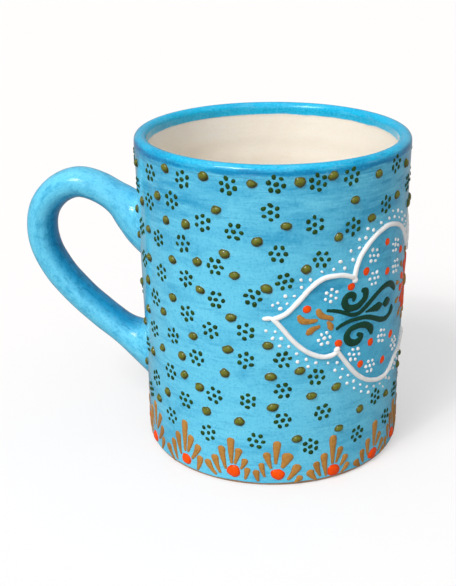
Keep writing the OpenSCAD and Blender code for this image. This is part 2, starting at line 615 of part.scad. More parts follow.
module red_dots() {
    color([0.9, 0.2, 0.04])
        for (s = concat(red_dot_shares, mirrored(red_dot_shares))) {
            p = in_medallion([s])[0];
            on_wall(wall_angle(p.x), p.y, on_wash) dome(red_dot_d, red_dot_lift);
        }
}

module green_scrolls() {
    color([0.12, 0.3, 0.24])
        for (s = scroll_shares) stroke(s, scroll_w, scroll_lift, on_wash);
}

module ochre_sprigs() {
    color([0.72, 0.45, 0.18]) {
        for (s = sprig_shares) stroke(s, sprig_w, sprig_lift, on_wash);
        for (k = [0:flower_count - 1]) {
            ray = [cos(360 * (k + 0.5) / flower_count), sin(360 * (k + 0.5) / flower_count)];
            near = flower_r + flower_tip_gap;
            petal([0, flower_z] + ray * (near + flower_tip_l), [0, flower_z] + ray * near,
                flower_tip_w, sprig_lift, on_wash);
        }
    }
}

module flower_petals() {
    color([0.88, 0.22, 0.1])
        for (k = [0:flower_count - 1]) {
            ray = [cos(360 * k / flower_count), sin(360 * k / flower_count)];
            petal([0, flower_z] + ray * flower_r, [0, flower_z] + ray * flower_r * flower_tail_share,
                flower_petal_w, flower_lift, on_wash);
        }
}

module flower_heart() {
    color([0.75, 0.5, 0.2]) on_wall(0, flower_z, on_wash) dome(flower_heart_d, flower_heart_lift);
}

module olive_domes() {
    color([0.4, 0.42, 0.17])
        for (p = dome_places) on_wall(wall_angle(p.x), p.y, seat_gap) dome(dome_d, dome_lift);
}

module green_rosettes() {
    color([0.14, 0.24, 0.1])
        for (p = rosette_places)
            rosette(wall_angle(p.x), p.y, rosette_d, rosette_dot_d, rosette_dot_lift, seat_gap,
                turn_share * wall_angle(p.x));
}

module palmette_petals() {
    color([0.72, 0.51, 0.26])
        for (p = palmettes, side = [-1, 1])
            rotate([0, 0, side * (180 - p[0])])
                for (q = p[2]) {
                    head = [-side * q[0] * palmette_w / 2, q[1] * palmette_h];
                    tail = [-side * q[2] * palmette_w / 2, q[3] * palmette_h];
                    petal(head, tail, q[4] * petal_w, petal_lift, seat_gap);
                }
}

module palmette_hearts() {
    color([0.95, 0.27, 0.05])
        for (p = palmettes, side = [-1, 1])
            on_wall(side * (180 - p[0]), p[1] * heart_z, seat_gap) dome(heart_d, heart_lift);
}

clay_body();
handle();
handle_slip();
wall_glaze();
rim_glaze();
handle_glaze();
inner_glaze();
medallion_wash();
medallion_outline();
outline_beads();
white_rosettes();
red_dots();
green_scrolls();
ochre_sprigs();
flower_petals();
flower_heart();
olive_domes();
green_rosettes();
palmette_petals();
palmette_hearts();
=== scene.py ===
"""Dresses the solids of a slip-decorated pottery mug: glaze coats, raised slip ornament and a studio."""

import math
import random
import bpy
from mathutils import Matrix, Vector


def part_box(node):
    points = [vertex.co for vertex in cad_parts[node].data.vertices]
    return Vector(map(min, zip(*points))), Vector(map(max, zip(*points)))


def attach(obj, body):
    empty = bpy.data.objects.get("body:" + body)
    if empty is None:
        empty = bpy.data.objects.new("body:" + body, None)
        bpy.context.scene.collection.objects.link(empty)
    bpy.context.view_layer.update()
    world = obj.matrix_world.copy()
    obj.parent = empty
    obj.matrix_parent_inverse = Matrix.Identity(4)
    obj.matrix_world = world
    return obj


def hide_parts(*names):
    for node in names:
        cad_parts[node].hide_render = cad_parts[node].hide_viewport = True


bl_info = {
    "name": "Slip-Decorated Mug",
    "version": (1, 0, 0),
    "blender": (4, 5, 0),
    "location": "3D View > Sidebar > Mug",
    "description": "Builds the glazes and the raised slip ornament of a hand-painted pottery mug",
    "category": "Add Mesh",
}

import bmesh
import bpy
from bpy.props import FloatProperty, FloatVectorProperty, IntProperty, PointerProperty
from bpy.types import Operator, Panel, PropertyGroup
from mathutils import Vector, noise

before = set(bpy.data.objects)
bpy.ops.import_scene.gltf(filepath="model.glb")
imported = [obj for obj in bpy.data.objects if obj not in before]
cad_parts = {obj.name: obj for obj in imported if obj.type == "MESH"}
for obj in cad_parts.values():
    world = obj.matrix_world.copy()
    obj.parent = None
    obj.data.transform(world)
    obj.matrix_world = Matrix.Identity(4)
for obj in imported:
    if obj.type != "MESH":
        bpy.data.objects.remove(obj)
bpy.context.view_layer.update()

MM = 0.001
TAU = 2 * math.pi

# Points round each turned or swept surface
CLAY_SIDES = 224
LINING_SIDES = 256
WALL_SIDES = 320
HANDLE_SIDES = 56


# The wall of the cup, read from its own solids

def profile_of(node):
    """A solid's points as (radius, height)."""
    return [(math.hypot(v.co.x, v.co.y), v.co.z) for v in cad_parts[node].data.vertices]


def far_radius(node, z, pick=max):
    """Radius of a solid's outermost (or innermost) point at a height."""
    return pick(r for r, high in profile_of(node) if abs(high - z) < 0.02 * MM)


WALL_LOW, WALL_HIGH = (corner.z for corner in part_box("wall_glaze"))
LEAN = (far_radius("wall_glaze", WALL_HIGH) - far_radius("wall_glaze", WALL_LOW)) / (WALL_HIGH - WALL_LOW)
FOOT_R = far_radius("wall_glaze", WALL_LOW) - LEAN * WALL_LOW
RIM_LOW, CUP_H = (corner.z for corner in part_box("rim_glaze"))
MEAN_R = FOOT_R + LEAN * CUP_H / 2
LINING_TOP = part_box("inner_glaze")[1].z
LINING_DEPTH = FOOT_R + LEAN * LINING_TOP - far_radius("inner_glaze", LINING_TOP, min)


def around(angle, r, z):
    """The place at an angle round the axis, a distance from it and a height."""
    return Vector((r * math.cos(angle), r * math.sin(angle), z))


def wall_r(z):
    """Radius of the glazed outside at a height."""
    return FOOT_R + LEAN * z


def wobble(angle, z):
    """How far the thrown wall strays from a true cone, the same for the wall and for what lies on it."""
    slow = noise.noise(around(angle, 1.3, 11 * z))
    rings = noise.noise(around(angle, 0.25, 210 * z) + Vector((0, 7, 0)))
    return sizes().wobble * (0.8 * slow + 0.25 * rings)


def on_wall(angle, z, lift):
    return around(angle, wall_r(z) + lift + wobble(angle, z), z)


def on_wall_x(x, z, lift):
    """A place given along the wall from the middle of the medallion."""
    return on_wall(x / MEAN_R, z, lift)


def ripple(angle, salt, turns):
    """A hand-painted edge's waver round the cup, about -1 to 1."""
    p = around(angle, turns, salt)
    return noise.noise(p) + 0.35 * noise.noise(p * 4.3)


def clamped(value):
    return min(1.0, max(0.0, value))


# Settings that a user would change

def sizes():
    return bpy.context.scene.mug_sizes


def colours():
    return bpy.context.scene.mug_colours


def hand(salt):
    """The random draws of one step of the work."""
    return random.Random(sizes().seed + salt)


def paint(red, green, blue):
    """A colour as it is seen on a screen, from 0 to 255, as the linear colour that Blender takes."""
    return tuple(c / 12.92 if c <= 0.04 else ((c + 0.055) / 1.055) ** 2.4
                 for c in (red / 255, green / 255, blue / 255))


def length(name, text, default, low, high):
    """A setting in millimetres."""
    return FloatProperty(name=name, description=text, default=default * MM, min=low * MM, max=high * MM,
                         unit="LENGTH", precision=5)


def bearing(name, text, degrees):
    return FloatProperty(name=name, description=text, default=math.radians(degrees), subtype="ANGLE")


def colour(name, text, red, green, blue):
    return FloatVectorProperty(name=name, description=text, default=paint(red, green, blue), min=0, max=1,
                               subtype="COLOR")


class MugSizes(PropertyGroup):
    """Sizes of the hand-made surface."""

    seed: IntProperty(name="Seed", description="Seed of every hand-made irregularity", default=7, min=0)
    wobble: length("Wall waver", "How far the thrown wall strays from a true cone", 0.14, 0, 0.3)
    edge_waver: length("Glaze edge waver", "How far the foot edge of the glaze wanders", 0.45, 0, 0.7)
    rim_waver: length("Rim band waver", "How far the edges of the rim band wander", 0.5, 0, 1)
    dot_waver: FloatProperty(name="Dot irregularity", description="How uneven the hand-set dots are",
                             default=0.16, min=0, max=0.4, subtype="FACTOR")
    medallion_w: length("Medallion width", "Width between its points, along the wall", 115, 92, 124)
    medallion_h: length("Medallion height", "Height of the medallion", 49.6, 40, 60)
    medallion_z: length("Medallion middle", "Height of the medallion's middle", 0.535 * CUP_H / MM, 40, 66)
    outline_w: length("Outline width", "Width of the trailed white line", 1.5, 1.2, 1.8)
    outline_lift: length("Outline height", "Height of the trailed white line", 0.78, 0.6, 1)
    scroll_w: length("Scroll width", "Greatest width of a green scroll", 2.5, 2, 2.7)
    sprig_w: length("Sprig width", "Greatest width of an ochre stroke", 2.1, 1.7, 2.3)
    stroke_lift: length("Stroke height", "Height of the brushed strokes", 0.36, 0.25, 0.5)
    ground_lift: length("Ground thickness", "Thickness of the blue ground in the medallion", 0.15, 0.12, 0.2)
    bead_lift: length("Bead height", "Height of the white beads", 0.36, 0.25, 0.5)
    red_lift: length("Red dot height", "Height of the red dots", 0.42, 0.3, 0.6)
    dome_lift: length("Dome height", "Height of the olive domes", 0.88, 0.6, 1)
    dot_lift: length("Green dot height", "Height of the dark green dots", 0.34, 0.25, 0.5)
    heart_lift: length("Heart height", "Height of the palmettes' red hearts", 0.66, 0.4, 0.8)
    flower_r: length("Flower radius", "Radius of the red flower", 8.8, 7.2, 10)
    palmette_h: length("Palmette height", "Height of a palmette above the table", 16.2, 13.5, 17)
    palmette_w: length("Palmette width", "Width of a full palmette", 16, 14, 17)
    petal_w: length("Petal width", "Greatest width of a palmette petal", 2.5, 2, 2.6)


class MugHandle(PropertyGroup):
    """Sizes of the pulled handle."""

    reach: length("Reach", "Reach beyond the wall, glaze included", 39.5, 32, 50)
    thickness: length("Thickness", "Thickness in the handle's own plane, without glaze", 9, 7.5, 11.5)
    width: length("Width", "Width across that plane, without glaze", 12, 9.5, 15)
    top_z: length("Upper joint", "Height of the middle of the upper joint", 68.5, 62, 72)
    low_z: length("Lower joint", "Height of the middle of the lower joint", 25.6, 20.5, 30)
    top_swell: length("Upper swell", "Height of the upper joint on the wall", 21, 17, 25)
    low_swell: length("Lower swell", "Height of the lower joint on the wall", 20.5, 15.5, 23)
    joint_w: length("Joint width", "Width of both joints on the wall", 18.4, 15, 22)
    swell_reach: length("Swell reach", "Distance from the wall over which a swell dies out", 12.5, 11, 16)
    coat: length("Coat", "Thickness of the glaze", 0.25, 0.2, 0.35)


class MugColours(PropertyGroup):
    """Colours of the glazes and slips."""

    turquoise: colour("Turquoise", "The wall's glaze", 102, 203, 236)
    turquoise_light: colour("Light turquoise", "The wall's glaze where it is thin", 122, 216, 242)
    turquoise_deep: colour("Deep turquoise", "The wall's glaze where it is thick", 18, 146, 194)
    # Painted shade: the dark colour laid on the handle's inner side
    turquoise_painted_shade: colour("Dark turquoise", "The glaze gathered on the handle's inner side", 0, 78, 112)
    rim: colour("Rim band", "The second coat on the lip", 20, 186, 230)
    rim_deep: colour("Deep rim band", "The second coat where the brush left most", 0, 120, 178)
    rim_dark: colour("Dark rim band", "The thickest streaks of the second coat outside", 0, 100, 156)
    cream: colour("Cream", "The lining", 252, 244, 231)
    cream_shade: colour("Cream shade", "The lining where it is thick", 242, 230, 214)
    clay: colour("Clay", "The bare clay", 192, 148, 108)
    clay_dark: colour("Dark clay", "The bare clay's darker grains", 128, 88, 58)
    ground: colour("Medallion ground", "The blue wash in the medallion", 78, 190, 228)
    ground_deep: colour("Deep ground", "The blue wash where it pools", 34, 142, 186)
    white: colour("White slip", "The outline and the beads", 246, 245, 243)
    red: colour("Red slip", "The red dots and hearts", 255, 84, 0)
    red_deep: colour("Deep red slip", "The red slip's thin edges", 214, 44, 2)
    scroll: colour("Scroll green", "The brushed scrolls", 22, 70, 50)
    scroll_deep: colour("Deep scroll green", "The brushed scrolls where they pool", 8, 40, 34)
    dots: colour("Dot green", "The small dark dots", 42, 78, 18)
    dots_deep: colour("Deep dot green", "The small dark dots at their edges", 18, 42, 6)
    olive: colour("Olive", "The domes", 112, 117, 32)
    olive_stain: colour("Olive stain", "The brown stain round the domes", 120, 110, 62)
    # Painted shade on the domes' lower sides and towards their feet, and also their darker mottling
    olive_shade_and_mottle: colour("Deep olive", "The domes' darker sides", 40, 46, 4)
    ochre: colour("Ochre", "The brushed petals", 190, 134, 62)
    ochre_deep: colour("Deep ochre", "The brushed petals where they pool", 142, 92, 34)


class MugStudio(PropertyGroup):
    """The camera and the floor."""

    azimuth: bearing("Azimuth", "Camera direction round the cup", 10)
    elevation: bearing("Elevation", "Camera height as an angle", 21.96)
    distance: length("Distance", "From the camera to the cup's axis", 347.6, 200, 900)
    target_z: length("Target height", "Height on the axis that the camera looks at", 46.6, 0, 100)
    lens: FloatProperty(name="Lens", description="Focal length", default=66.47, subtype="DISTANCE_CAMERA")
    shift: FloatProperty(name="Shift", description="Sideways shift of the frame", default=-0.0768)
    floor: colour("Floor", "The pale floor", 192, 189, 188)
    floor_mirrored: colour("Mirrored floor", "The floor as the glaze mirrors it", 146, 147, 148)


# Meshes

class Shape:
    """Points with the values kept at each, faces and the random draws of a piece that becomes one mesh."""

    def __init__(self, rng=None):
        self.rows, self.faces, self.rng = [], [], rng

    def add(self, point, rise=1.0, tone=0.5, veil=1.0, flow=(0.0, 0.0, 0.0)):
        self.rows.append((tuple(point), rise, tone, veil, flow))
        return len(self.rows) - 1

    def skin(self, rings, closed=False):
        """Joins rings of point numbers with four-sided faces."""
        for a, b in list(zip(rings, rings[1:])) + ([(rings[-1], rings[0])] if closed else []):
            for j in range(len(a)):
                k = (j + 1) % len(a)
                self.faces.append((a[j], a[k], b[k], b[j]))

    def fan(self, ring, middle):
        """Closes a ring round a middle point."""
        for a, b in zip(ring, ring[1:] + ring[:1]):
            self.faces.append((a, b, middle))

    def close_ends(self, rings):
        self.faces += [tuple(rings[0]), tuple(reversed(rings[-1]))]

    def finish(self, name, material, slot, *replaced):
        """Makes the object, hangs it on the frame and hides what it stands for."""
        points, *values, flow = zip(*self.rows)
        mesh = bpy.data.meshes.new(name)
        mesh.from_pydata(points, [], self.faces)
        for label, column in zip(("rise", "tone", "veil"), values):
            mesh.attributes.new(label, "FLOAT", "POINT").data.foreach_set("value", column)
        if any(map(any, flow)):
            flat = [part for place in flow for part in place]
            mesh.attributes.new("flow", "FLOAT_VECTOR", "POINT").data.foreach_set("vector", flat)
        work = bmesh.new()
        work.from_mesh(mesh)
        bmesh.ops.recalc_face_normals(work, faces=work.faces)
        for face in work.faces:
            face.smooth = True
        work.to_mesh(mesh)
        work.free()
        mesh.materials.append(material)
        piece = bpy.data.objects.new(name, mesh)
        bpy.context.scene.collection.objects.link(piece)
        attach(piece, "root")
        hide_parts(*replaced)


def turns(sides):
    return [TAU * j / sides for j in range(sides)]


def revolve(shape, profile, sides, bend):
    """Turns (radius, height) places about the axis; bend shifts each by its angle."""
    shape.skin([[shape.add(around(a, *bend(a, r, z))) for a in turns(sides)] for r, z in profile])


def smooth(points, steps):
    """A smooth line through chosen points of any width, ends included."""
    made = []
    for i in range(len(points) - 1):
        near = zip(points[max(i - 1, 0)], points[i], points[i + 1], points[min(i + 2, len(points) - 1)])
        curves = [(2 * q, r - p, 2 * p - 5 * q + 4 * r - s, 3 * q - p - 3 * r + s) for p, q, r, s in near]
        for t in (k / steps for k in range(steps)):
            made.append(tuple((a + b * t + c * t * t + d * t ** 3) / 2 for a, b, c, d in curves))
    return made + [tuple(points[-1])]


def mirrored(points):
    return [(-p[0],) + tuple(p[1:]) for p in points]


def sides_of(path, closed):
    """The mitred left-hand direction at each place of a path."""
    flat = [Vector(p[:2]) for p in path]
    n = len(flat)
    made = []
    for i, here in enumerate(flat):
        before = [here - flat[i - 1]] if closed or i else []
        after = [flat[(i + 1) % n] - here] if closed or i < n - 1 else []
        runs = [run.normalized() for run in before + after]
        lefts = [Vector((-run.y, run.x)) for run in runs]
        mitre = 1 if len(lefts) == 1 else max(0.35, 1 + lefts[0].dot(lefts[1]))
        made.append(sum(lefts, Vector((0, 0))) / mitre)
    return made


def whole_section(half):
    """A section of raised slip from its right half, which starts in the middle."""
    return mirrored(half[:0:-1]) + list(half)


# Sections of raised slip from the middle outwards: share of the half width, share of the height
BRUSHED = whole_section(((0, 1), (0.45, 0.97), (0.8, 0.8), (0.95, 0.45), (1, 0.05), (1, -1)))
TRAILED = whole_section((
    (0, 1), (0.28, 0.97), (0.58, 0.86), (0.83, 0.62), (0.96, 0.36), (1, 0.1), (1, -0.5)))
# Profiles of drops: share of the radius, share of the height
BEAD = ((1, -0.8), (1, 0.08), (0.9, 0.5), (0.66, 0.84), (0.3, 0.98))
DOME = (
    (1, -0.4), (1, 0.02), (0.965, 0.24), (0.89, 0.46), (0.76, 0.68), (0.58, 0.85), (0.34, 0.965), (0.14, 1))
# The thin skirt of stained glaze round raised slip: share of its width, height in mm, how much slip it holds
SKIRT = ((1, -0.12, 0), (1, 0.012, 0), (0.5, 0.03, 0.5), (0.1, 0.05, 1))


def drop(shape, angle, z, wide, tall, lift, profile, sides, turn, base=0.0, skirt=0.0, pool=0.0):
    """One drop of slip set on the wall by hand; pool is the share of its tone given over to painted shade,
    darker towards its lower right.
    """
    uneven, most_lean, rng = sizes().dot_waver, 0.12, shape.rng
    body = [(r, base + lift * h, max(h, 0), 1.0) for r, h in profile if h > 0 or not skirt]
    if skirt:
        body = [(1 + t * skirt / (wide / 2), base + h * MM, 0.0, veil) for t, h, veil in SKIRT] + body
    tone, salt = rng.random(), rng.random() * 40
    lean_u, lean_v = (rng.uniform(-most_lean, most_lean) for _ in range(2))
    rings = []
    for share, high, h, veil in body:
        ring = []
        for t in turns(sides):
            r = share * (1 + uneven * noise.noise(around(t, 1.1, salt)))
            u, v = r * math.cos(t) * wide / 2, r * math.sin(t) * tall / 2
            u, v = u * math.cos(turn) - v * math.sin(turn), u * math.sin(turn) + v * math.cos(turn)
            u, v = u + lean_u * h * wide / 2, v + lean_v * h * tall / 2
            # Painted shade: darker towards the drop's lower right, mixed into its tone by pool
            shaded = clamped(0.5 - 1.3 * v / tall + 0.5 * u / wide)
            place = on_wall(angle + u / wall_r(z), z + v, high)
            ring.append(shape.add(place, h, tone + pool * (shaded - tone), veil))
        rings.append(ring)
    shape.skin(rings)
    shape.faces.append(tuple(reversed(rings[0])))
    top = on_wall(angle + lean_u * wide / 2 / wall_r(z), z + lean_v * tall / 2, base + lift * 1.005)
    shape.fan(rings[-1], shape.add(top, 1.0, tone + pool * (0.5 - tone)))


def rounded_ends(path, first=True, rings=4):
    """Adds the round ends of a stroke: places past each end whose width closes like a half circle."""
    def end(p, q):
        """Places past p, coming from q."""
        run = Vector((p[0] - q[0], p[1] - q[1])).normalized()
        made = []
        for k in range(1, rings + 1):
            t = math.pi / 2 * k / rings
            far = math.sin(t) * p[2] / 2
            made.append((p[0] + run.x * far, p[1] + run.y * far, p[2] * max(0.04, math.cos(t))))
        return made
    return (end(path[0], path[1])[::-1] if first else []) + path + end(path[-1], path[-2])


def trail(shape, path, lift, section=BRUSHED, closed=False, base=0.0, waver=0.14, skirt=0.0):
    """A stroke along (x, z, width) places on the wall."""
    tone, salt = shape.rng.random(), shape.rng.random() * 60
    full = max(p[2] for p in path)
    gone = 0.0
    rings = []
    for i, (p, left) in enumerate(zip(path, sides_of(path, closed))):
        if i:
            gone += math.dist(path[i - 1][:2], p[:2]) / MM
        width = p[2] * (1 + waver * noise.noise(Vector((gone * 0.55, salt, 0))))
        high = lift * min(1, math.sqrt(p[2] / full))
        high *= 1 + 1.5 * waver * noise.noise(Vector((salt, gone * 0.5, 3)))
        across = [(s * width / 2, base + high * h, max(h, 0), 1.0) for s, h in section if h > 0 or not skirt]
        if skirt:
            edge = [(width / 2 + t * skirt, base + h * MM, 0.0, veil) for t, h, veil in SKIRT]
            across = mirrored(edge) + across + edge[::-1]
        ring = []
        for off, up, rise, veil in across:
            ring.append(shape.add(on_wall_x(p[0] + left.x * off, p[1] + left.y * off, up), rise, tone, veil))
        rings.append(ring)
    shape.skin(rings, closed)
    if not closed:
        shape.close_ends(rings)


def lumps(node):
    """The separate lumps of a node: (angle, height, size up the wall) of each, in a steady order."""
    work = bmesh.new()
    work.from_mesh(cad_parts[node].data)
    bmesh.ops.remove_doubles(work, verts=work.verts, dist=0.002 * MM)
    seen, made = set(), []
    for start in work.verts:
        if start in seen:
            continue
        seen.add(start)
        lump, queue = [], [start]
        while queue:
            v = queue.pop()
            lump.append(v.co)
            near = [w for w in (e.other_vert(v) for e in v.link_edges) if w not in seen]
            seen.update(near)
            queue += near
        middle = sum(lump, Vector()) / len(lump)
        tall = max(co.z for co in lump) - min(co.z for co in lump)
        made.append((round(math.atan2(middle.y, middle.x), 5), round(middle.z, 6), tall))
    work.free()
    return sorted(made)


def set_drops(shape, node, size, stretch, lift, highs, shift=0.0, turned=(0, math.pi), **look):
    """Sets a drop on each lump of a node, within ranges of size, stretch, height and turn, and shifted."""
    draw = shape.rng.uniform
    for angle, z, d in lumps(node):
        across, ratio = d * draw(*size), draw(*stretch)
        if shift:
            angle, z = angle + draw(-1, 1) * shift / MEAN_R, z + draw(-1, 1) * shift
        drop(shape, angle, z, across * ratio, across / ratio, lift * draw(*highs), turn=draw(*turned),
             **look)


# Materials

class Wires:
    """Short ways to place and join shader nodes in one tree."""

    def __init__(self, tree):
        self.tree = tree

    def put(self, kind, **values):
        node = self.tree.nodes.new("ShaderNode" + kind)
        for key, value in values.items():
            setattr(node, key, value)
        return node

    def feed(self, socket, value):
        """Gives an input another node's output, a number, a vector or a colour."""
        if isinstance(value, bpy.types.NodeSocket):
            self.tree.links.new(value, socket)
        else:
            socket.default_value = (*value, 1) if socket.type == "RGBA" else value

    def join(self, node, **values):
        """Feeds a node's inputs by name, with _ for a space, and gives its outputs."""
        for key, value in values.items():
            self.feed(node.inputs[key.replace("_", " ")], value)
        return node.outputs

    def first(self, kind, *given, **values):
        """Places a node, feeds its inputs in order and gives its first output."""
        node = self.put(kind, **values)
        for socket, value in zip(node.inputs, given):
            self.feed(socket, value)
        return node.outputs[0]

    def math(self, operation, *given):
        return self.first("Math", *given, operation=operation)

    def times(self, a, b):
        return self.math("MULTIPLY", a, b)

    def plus(self, a, b):
        return self.math("ADD", a, b)

    def stretch(self, vector, scale):
        return self.first("VectorMath", vector, scale, operation="MULTIPLY")

    def noise(self, vector, scale, detail, rough=0.55, warp=0.0):
        return self.join(self.put("TexNoise"), Vector=vector, Scale=scale, Detail=detail, Roughness=rough,
                         Distortion=warp)["Fac"]

    def span(self, value, low, high, to_low=0.0, to_high=1.0):
        """A value's smooth way from low to high, given as one from to_low to to_high."""
        return self.first("MapRange", value, low, high, to_low, to_high, interpolation_type="SMOOTHSTEP")

    def mix(self, factor, a, b):
        node = self.put("Mix", data_type="RGBA")
        for socket, value in zip((node.inputs[0], *node.inputs[6:8]), (factor, a, b)):
            self.feed(socket, value)
        return node.outputs[2]

    def toned(self, shade, texture, bounds, much, other):
        """Mixes another colour in where a texture goes from the first bound to the second."""
        return self.mix(self.times(self.span(texture, *bounds), much), shade, other)

    def kept(self, name):
        """A value kept at the mesh's points."""
        return self.put("Attribute", attribute_name=name).outputs["Fac"]

    def height_of(self, place):
        return self.join(self.put("SeparateXYZ"), Vector=place)["Z"]

    def use(self, tree, **values):
        return self.join(self.put("Group", node_tree=tree), **values)


COLOR, VALUE, VECTOR = "NodeSocketColor", "NodeSocketFloat", "NodeSocketVector"


def group(name, inputs, build):
    """A shader group, made at its first use; build gives its colour, roughness and relief."""
    if name in bpy.data.node_groups:
        return bpy.data.node_groups[name]
    tree = bpy.data.node_groups.new(name, "ShaderNodeTree")
    for label, kind, *default in inputs:
        socket = tree.interface.new_socket(label, in_out="INPUT", socket_type=kind)
        if default:
            socket.default_value = default[0]
    for label, kind in (("Color", COLOR), ("Roughness", VALUE), ("Height", VALUE)):
        tree.interface.new_socket(label, in_out="OUTPUT", socket_type=kind)
    w = Wires(tree)
    given = tree.nodes.new("NodeGroupInput").outputs
    out = tree.nodes.new("NodeGroupOutput")
    for socket, value in zip(out.inputs, build(w, given)):
        w.feed(socket, value)
    return tree


def brushed_glaze():
    """Glaze laid on with a wide brush: long streaks, broad drifts of thickness and a fine grain."""
    def build(w, g):
        along = w.stretch(g["Place"], g["Streaks"])
        fine = w.noise(along, 1.0, 6.0, 0.66)
        wide = w.noise(w.stretch(along, (0.6, 0.6, 0.3)), 1.0, 4.0, 0.55)
        drift = w.noise(w.stretch(g["Place"], g["Drift"]), 1.0, 6.0, 0.6, 0.5)
        grain = w.noise(g["Place"], 1500.0, 3.0, 0.6)
        hairs = w.plus(w.times(fine, 0.55), w.times(wide, 0.45))
        shade = w.toned(g["Base"], drift, (0.48, 0.68), g["Drift Share"], g["Thick"])
        shade = w.toned(shade, drift, (0.48, 0.3), g["Drift Share"], g["Thin"])
        shade = w.toned(shade, hairs, (0.5, 0.66), g["Streak Share"], g["Thick"])
        shade = w.toned(shade, hairs, (0.5, 0.34), g["Streak Share"], g["Thin"])
        shade = w.toned(shade, grain, (0.5, 0.72), 0.4, g["Thick"])
        shade = w.toned(shade, grain, (0.48, 0.3), 0.3, g["Thin"])
        relief = w.plus(w.plus(w.times(wide, 0.2), w.times(fine, 0.1)), w.times(drift, 0.6))
        return shade, w.plus(g["Gloss"], w.span(fine, 0.35, 0.75, -0.03, 0.07)), relief
    return group("Brushed Glaze", (
        ("Place", VECTOR), ("Streaks", VECTOR), ("Drift", VECTOR), ("Base", COLOR), ("Thin", COLOR),
        ("Thick", COLOR), ("Streak Share", VALUE), ("Drift Share", VALUE), ("Gloss", VALUE)), build)


def slip_body():
    """Thick slip: its own tone from drop to drop, thin and stained at the edge, faintly mottled; on the
    domes the tone is mostly painted shade and the darker edge is painted shade.
    """
    def build(w, g):
        cloud = w.noise(g["Place"], 900.0, 3.0, 0.6, 0.4)
        grain = w.noise(g["Place"], 4200.0, 2.0, 0.5)
        shade = w.toned(g["Core"], g["Tone"], (0.35, 1.0), g["Tone Share"], g["Deep"])
        shade = w.toned(shade, g["Rise"], (g["Edge Reach"], 0.1), g["Edge Share"], g["Edge"])
        shade = w.toned(shade, cloud, (0.5, 0.75), g["Mottle"], g["Deep"])
        shade = w.toned(shade, cloud, (0.5, 0.28), g["Mottle"], g["Edge"])
        relief = w.plus(w.times(cloud, 0.7), w.times(grain, 0.3))
        return shade, w.plus(g["Gloss"], w.span(grain, 0.35, 0.7, -0.03, 0.08)), relief
    return group("Slip Body", (
        ("Place", VECTOR), ("Rise", VALUE), ("Tone", VALUE), ("Core", COLOR), ("Edge", COLOR),
        ("Deep", COLOR), ("Edge Share", VALUE), ("Edge Reach", VALUE, 0.75), ("Tone Share", VALUE),
        ("Mottle", VALUE), ("Gloss", VALUE, 0.2)), build)


def fired_clay():
    """Bare fired clay: buff ground with darker grains and pores."""
    def build(w, g):
        place = w.stretch(g["Place"], g["Scale"])
        cloud = w.noise(place, 140.0, 4.0, 0.6)
        grain = w.noise(place, 2300.0, 3.0, 0.6)
        shade = w.toned(g["Base"], cloud, (0.35, 0.7), 0.55, g["Grains"])
        shade = w.toned(shade, grain, (0.58, 0.72), 0.7, g["Grains"])
        return shade, w.span(grain, 0.3, 0.7, 0.72, 0.92), grain
    return group("Fired Clay", (
        ("Place", VECTOR), ("Base", COLOR), ("Grains", COLOR), ("Scale", VALUE)), build)


def new_material(name):
    """A material with its shader joined to its output, the wires to it and its place texture."""
    material = bpy.data.materials.new(name)
    material.use_nodes = True
    material.node_tree.nodes.clear()
    w = Wires(material.node_tree)
    shader = w.put("BsdfPrincipled")
    w.join(w.put("OutputMaterial"), Surface=shader.outputs[0])
    return material, w, shader, w.put("TexCoord").outputs["Object"]


def dress(w, shader, shade, result, bump, reach, **values):
    """Joins a colour and a group's roughness and relief to the shader, with its other values."""
    relief = w.join(w.put("Bump"), Height=result["Height"], Strength=bump, Distance=reach)[0]
    w.join(shader, Base_Color=shade, Roughness=result["Roughness"], Normal=relief, **values)


def wall_look(w, place):
    """The wall's turquoise, thicker and streakier towards the rim."""
    c = colours()
    upper = w.span(w.height_of(place), 0.66 * CUP_H, 0.98 * CUP_H)
    return w.use(brushed_glaze(), Place=place, Streaks=(130, 130, 1200), Drift=(50, 50, 120),
                 Base=w.mix(w.times(upper, 0.4), c.turquoise, c.turquoise_deep),
                 Thin=w.mix(w.times(upper, 0.6), c.turquoise_light, c.turquoise), Thick=c.turquoise_deep,
                 Streak_Share=w.span(upper, 0.0, 1.0, 0.42, 0.9),
                 Drift_Share=w.span(upper, 0.0, 1.0, 0.42, 0.8), Gloss=0.1)


def rim_look(w, place):
    """The second coat on the lip, darkest where it has run to just under the lip; veil is 1 outside."""
    c, outside = colours(), w.kept("veil")
    run = w.times(w.span(w.height_of(place), CUP_H - 0.4 * MM, CUP_H - 2.0 * MM, 0.0, 0.75), outside)
    return w.use(brushed_glaze(), Place=place, Streaks=(90, 90, 1000), Drift=(70, 70, 240),
                 Base=w.mix(run, c.rim, c.rim_deep), Thin=w.mix(run, c.turquoise, c.rim),
                 Thick=w.mix(outside, c.rim_deep, c.rim_dark),
                 Streak_Share=w.math("MULTIPLY_ADD", outside, 0.5, 0.25),
                 Drift_Share=w.math("MULTIPLY_ADD", outside, 0.4, 0.2), Gloss=0.09)


def cream_look(w, place):
    """The lining's cream, nearly even."""
    c = colours()
    return w.use(brushed_glaze(), Place=place, Streaks=(26, 26, 420), Drift=(20, 20, 40), Base=c.cream,
                 Thin=c.white, Thick=c.cream_shade, Streak_Share=0.22, Drift_Share=0.5, Gloss=0.16)


def ground_look(w, place):
    """The medallion's blue ground, a second wash over the turquoise."""
    c = colours()
    return w.use(brushed_glaze(), Place=place, Streaks=(90, 90, 700), Drift=(90, 90, 150), Base=c.ground,
                 Thin=c.turquoise, Thick=c.ground_deep, Streak_Share=0.4, Drift_Share=0.75, Gloss=0.12)


